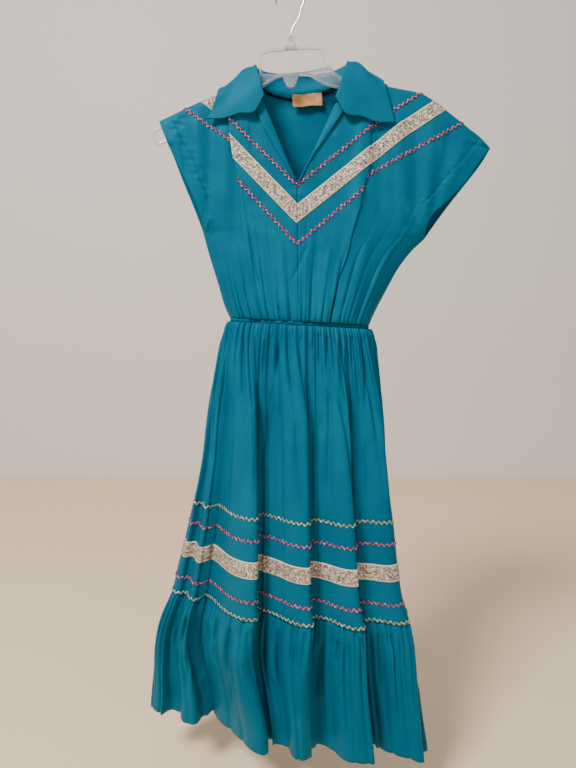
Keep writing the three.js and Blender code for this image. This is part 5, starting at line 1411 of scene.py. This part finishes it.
def moulding(name, middle, half_depth, levels, ribs):
    """A closed moulding whose section is a rounded oblong with upright ribs: half width and z of
    each level, the first and last drawn together."""
    levels = line((0.01, levels[0][1]), *levels, (0.01, levels[-1][1]))
    turn = np.linspace(0, 2 * np.pi, 97)[:, None]
    wide, deep = (np.sign(f(turn)) * np.abs(f(turn)) ** 0.5 for f in (np.cos, np.sin))
    ribbed = 1 + 0.10 * np.cos(ribs * turn)
    half = levels[None, :, 0]
    depth = np.minimum(half_depth, half)
    points = stacked(middle + half * wide * ribbed, depth * deep * ribbed, levels[:, 1])
    tube_mesh(name, points, stacked(half, turn * 3), CLEAR, "hanger")


# The boss that grips the hook, and the clip below the bar.
moulding("hanger_boss", 2, 4.4, ((3.5, -76), (4.2, -80), (7, -87), (9.6, -94)), 6)
moulding("hanger_clip", 1, 2.9, ((12, -133), (10.5, -138), (7.5, -145), (4.5, -151)), 14)

# The hook: its bend's inner radius, the wire's radius, and where the bend joins the shank and ends.
HOOK = {"inner": 20, "wire": 1.6, "joins": -36, "tip": 205}
SHANK = ((2, -84), (2, -72), (4, -64), (7.5, -57.5), (12.8, -49.3), (16, -41))
radius = HOOK["inner"] + HOOK["wire"]
angle = np.linspace(HOOK["joins"], HOOK["tip"], 40) * DEG
arc = stacked(radius * np.cos(angle), 0.0, -HOOK["inner"] + radius * np.sin(angle))
shank = rounded([*((x, 0, z) for x, z in SHANK), tuple(arc[0])], 6)[:-1]
path = np.concatenate([shank, arc])
CLOSED = 0.02  # radius that draws an end together
sizes = np.full(len(path), float(HOOK["wire"]))
sizes[-3:] = (1.5, 1.1, CLOSED)
sizes[0] = CLOSED
tube_mesh("hook_wire", *tube_grid(path, sizes, 12), WIRE, "hook_wire", "hook")

# ---------- floor, wall and light ----------
FLOOR_Z, WALL_Y = -1.320, 2.0  # metres


def stage_plane(name, corners, finish):
    mesh = bpy.data.meshes.new(name)
    mesh.from_pydata(corners, [], [(0, 1, 2, 3)])
    mesh.materials.append(finish.material)
    plane = bpy.data.objects.new(name, mesh)
    bpy.context.scene.collection.objects.link(plane)


plaster = Finish("wall_paint", Roughness=0.7, Base_Color=rgb(0.86, 0.79, 0.73))
plaster.bumped(plaster.noise(plaster.stretched(plaster.place("Object"), (2, 2, 110)), 1.0, 3.0), 0.002, 0.35)
carpet = Finish("floor_cloth", Roughness=0.9, Base_Color=rgb(0.97, 0.74, 0.50))
carpet.bumped(carpet.noise(carpet.place("Object"), 6.0, 3.0), 0.01, 0.3)
REACH, WALL_TOP = 3, 2.0
near_left, near_right = (-REACH, -REACH, FLOOR_Z), (REACH, -REACH, FLOOR_Z)
far_right, far_left = (REACH, WALL_Y, FLOOR_Z), (-REACH, WALL_Y, FLOOR_Z)
stage_plane("floor", [near_left, near_right, far_right, far_left], carpet)
stage_plane("wall", [far_left, far_right, (REACH, WALL_Y, WALL_TOP), (-REACH, WALL_Y, WALL_TOP)], plaster)


def soft_light(name, place, aim, size, power, tint):
    light = bpy.data.lights.new(name, "AREA")
    light.size, light.energy, light.color = size, power, tint
    lamp = bpy.data.objects.new(name, light)
    lamp.location = place
    x, y, z = np.array(place) - np.array(aim)
    lamp.rotation_euler = (math.atan2(math.hypot(x, y), z), 0, math.atan2(x, -y))
    bpy.context.scene.collection.objects.link(lamp)


soft_light("key", (-1.5, -1.9, 2.0), (0, 0, -0.6), 0.9, 165, (1, 0.98, 0.95))
soft_light("fill", (1.9, -2.2, -0.2), (0, 0, -0.7), 2.0, 12, (0.95, 0.98, 1))
world = bpy.data.worlds.new("room")
world.use_nodes = True
world.node_tree.nodes["Background"].inputs["Color"].default_value = rgb(0.93, 0.95, 1.0)
world.node_tree.nodes["Background"].inputs["Strength"].default_value = 0.42
bpy.context.scene.world = world
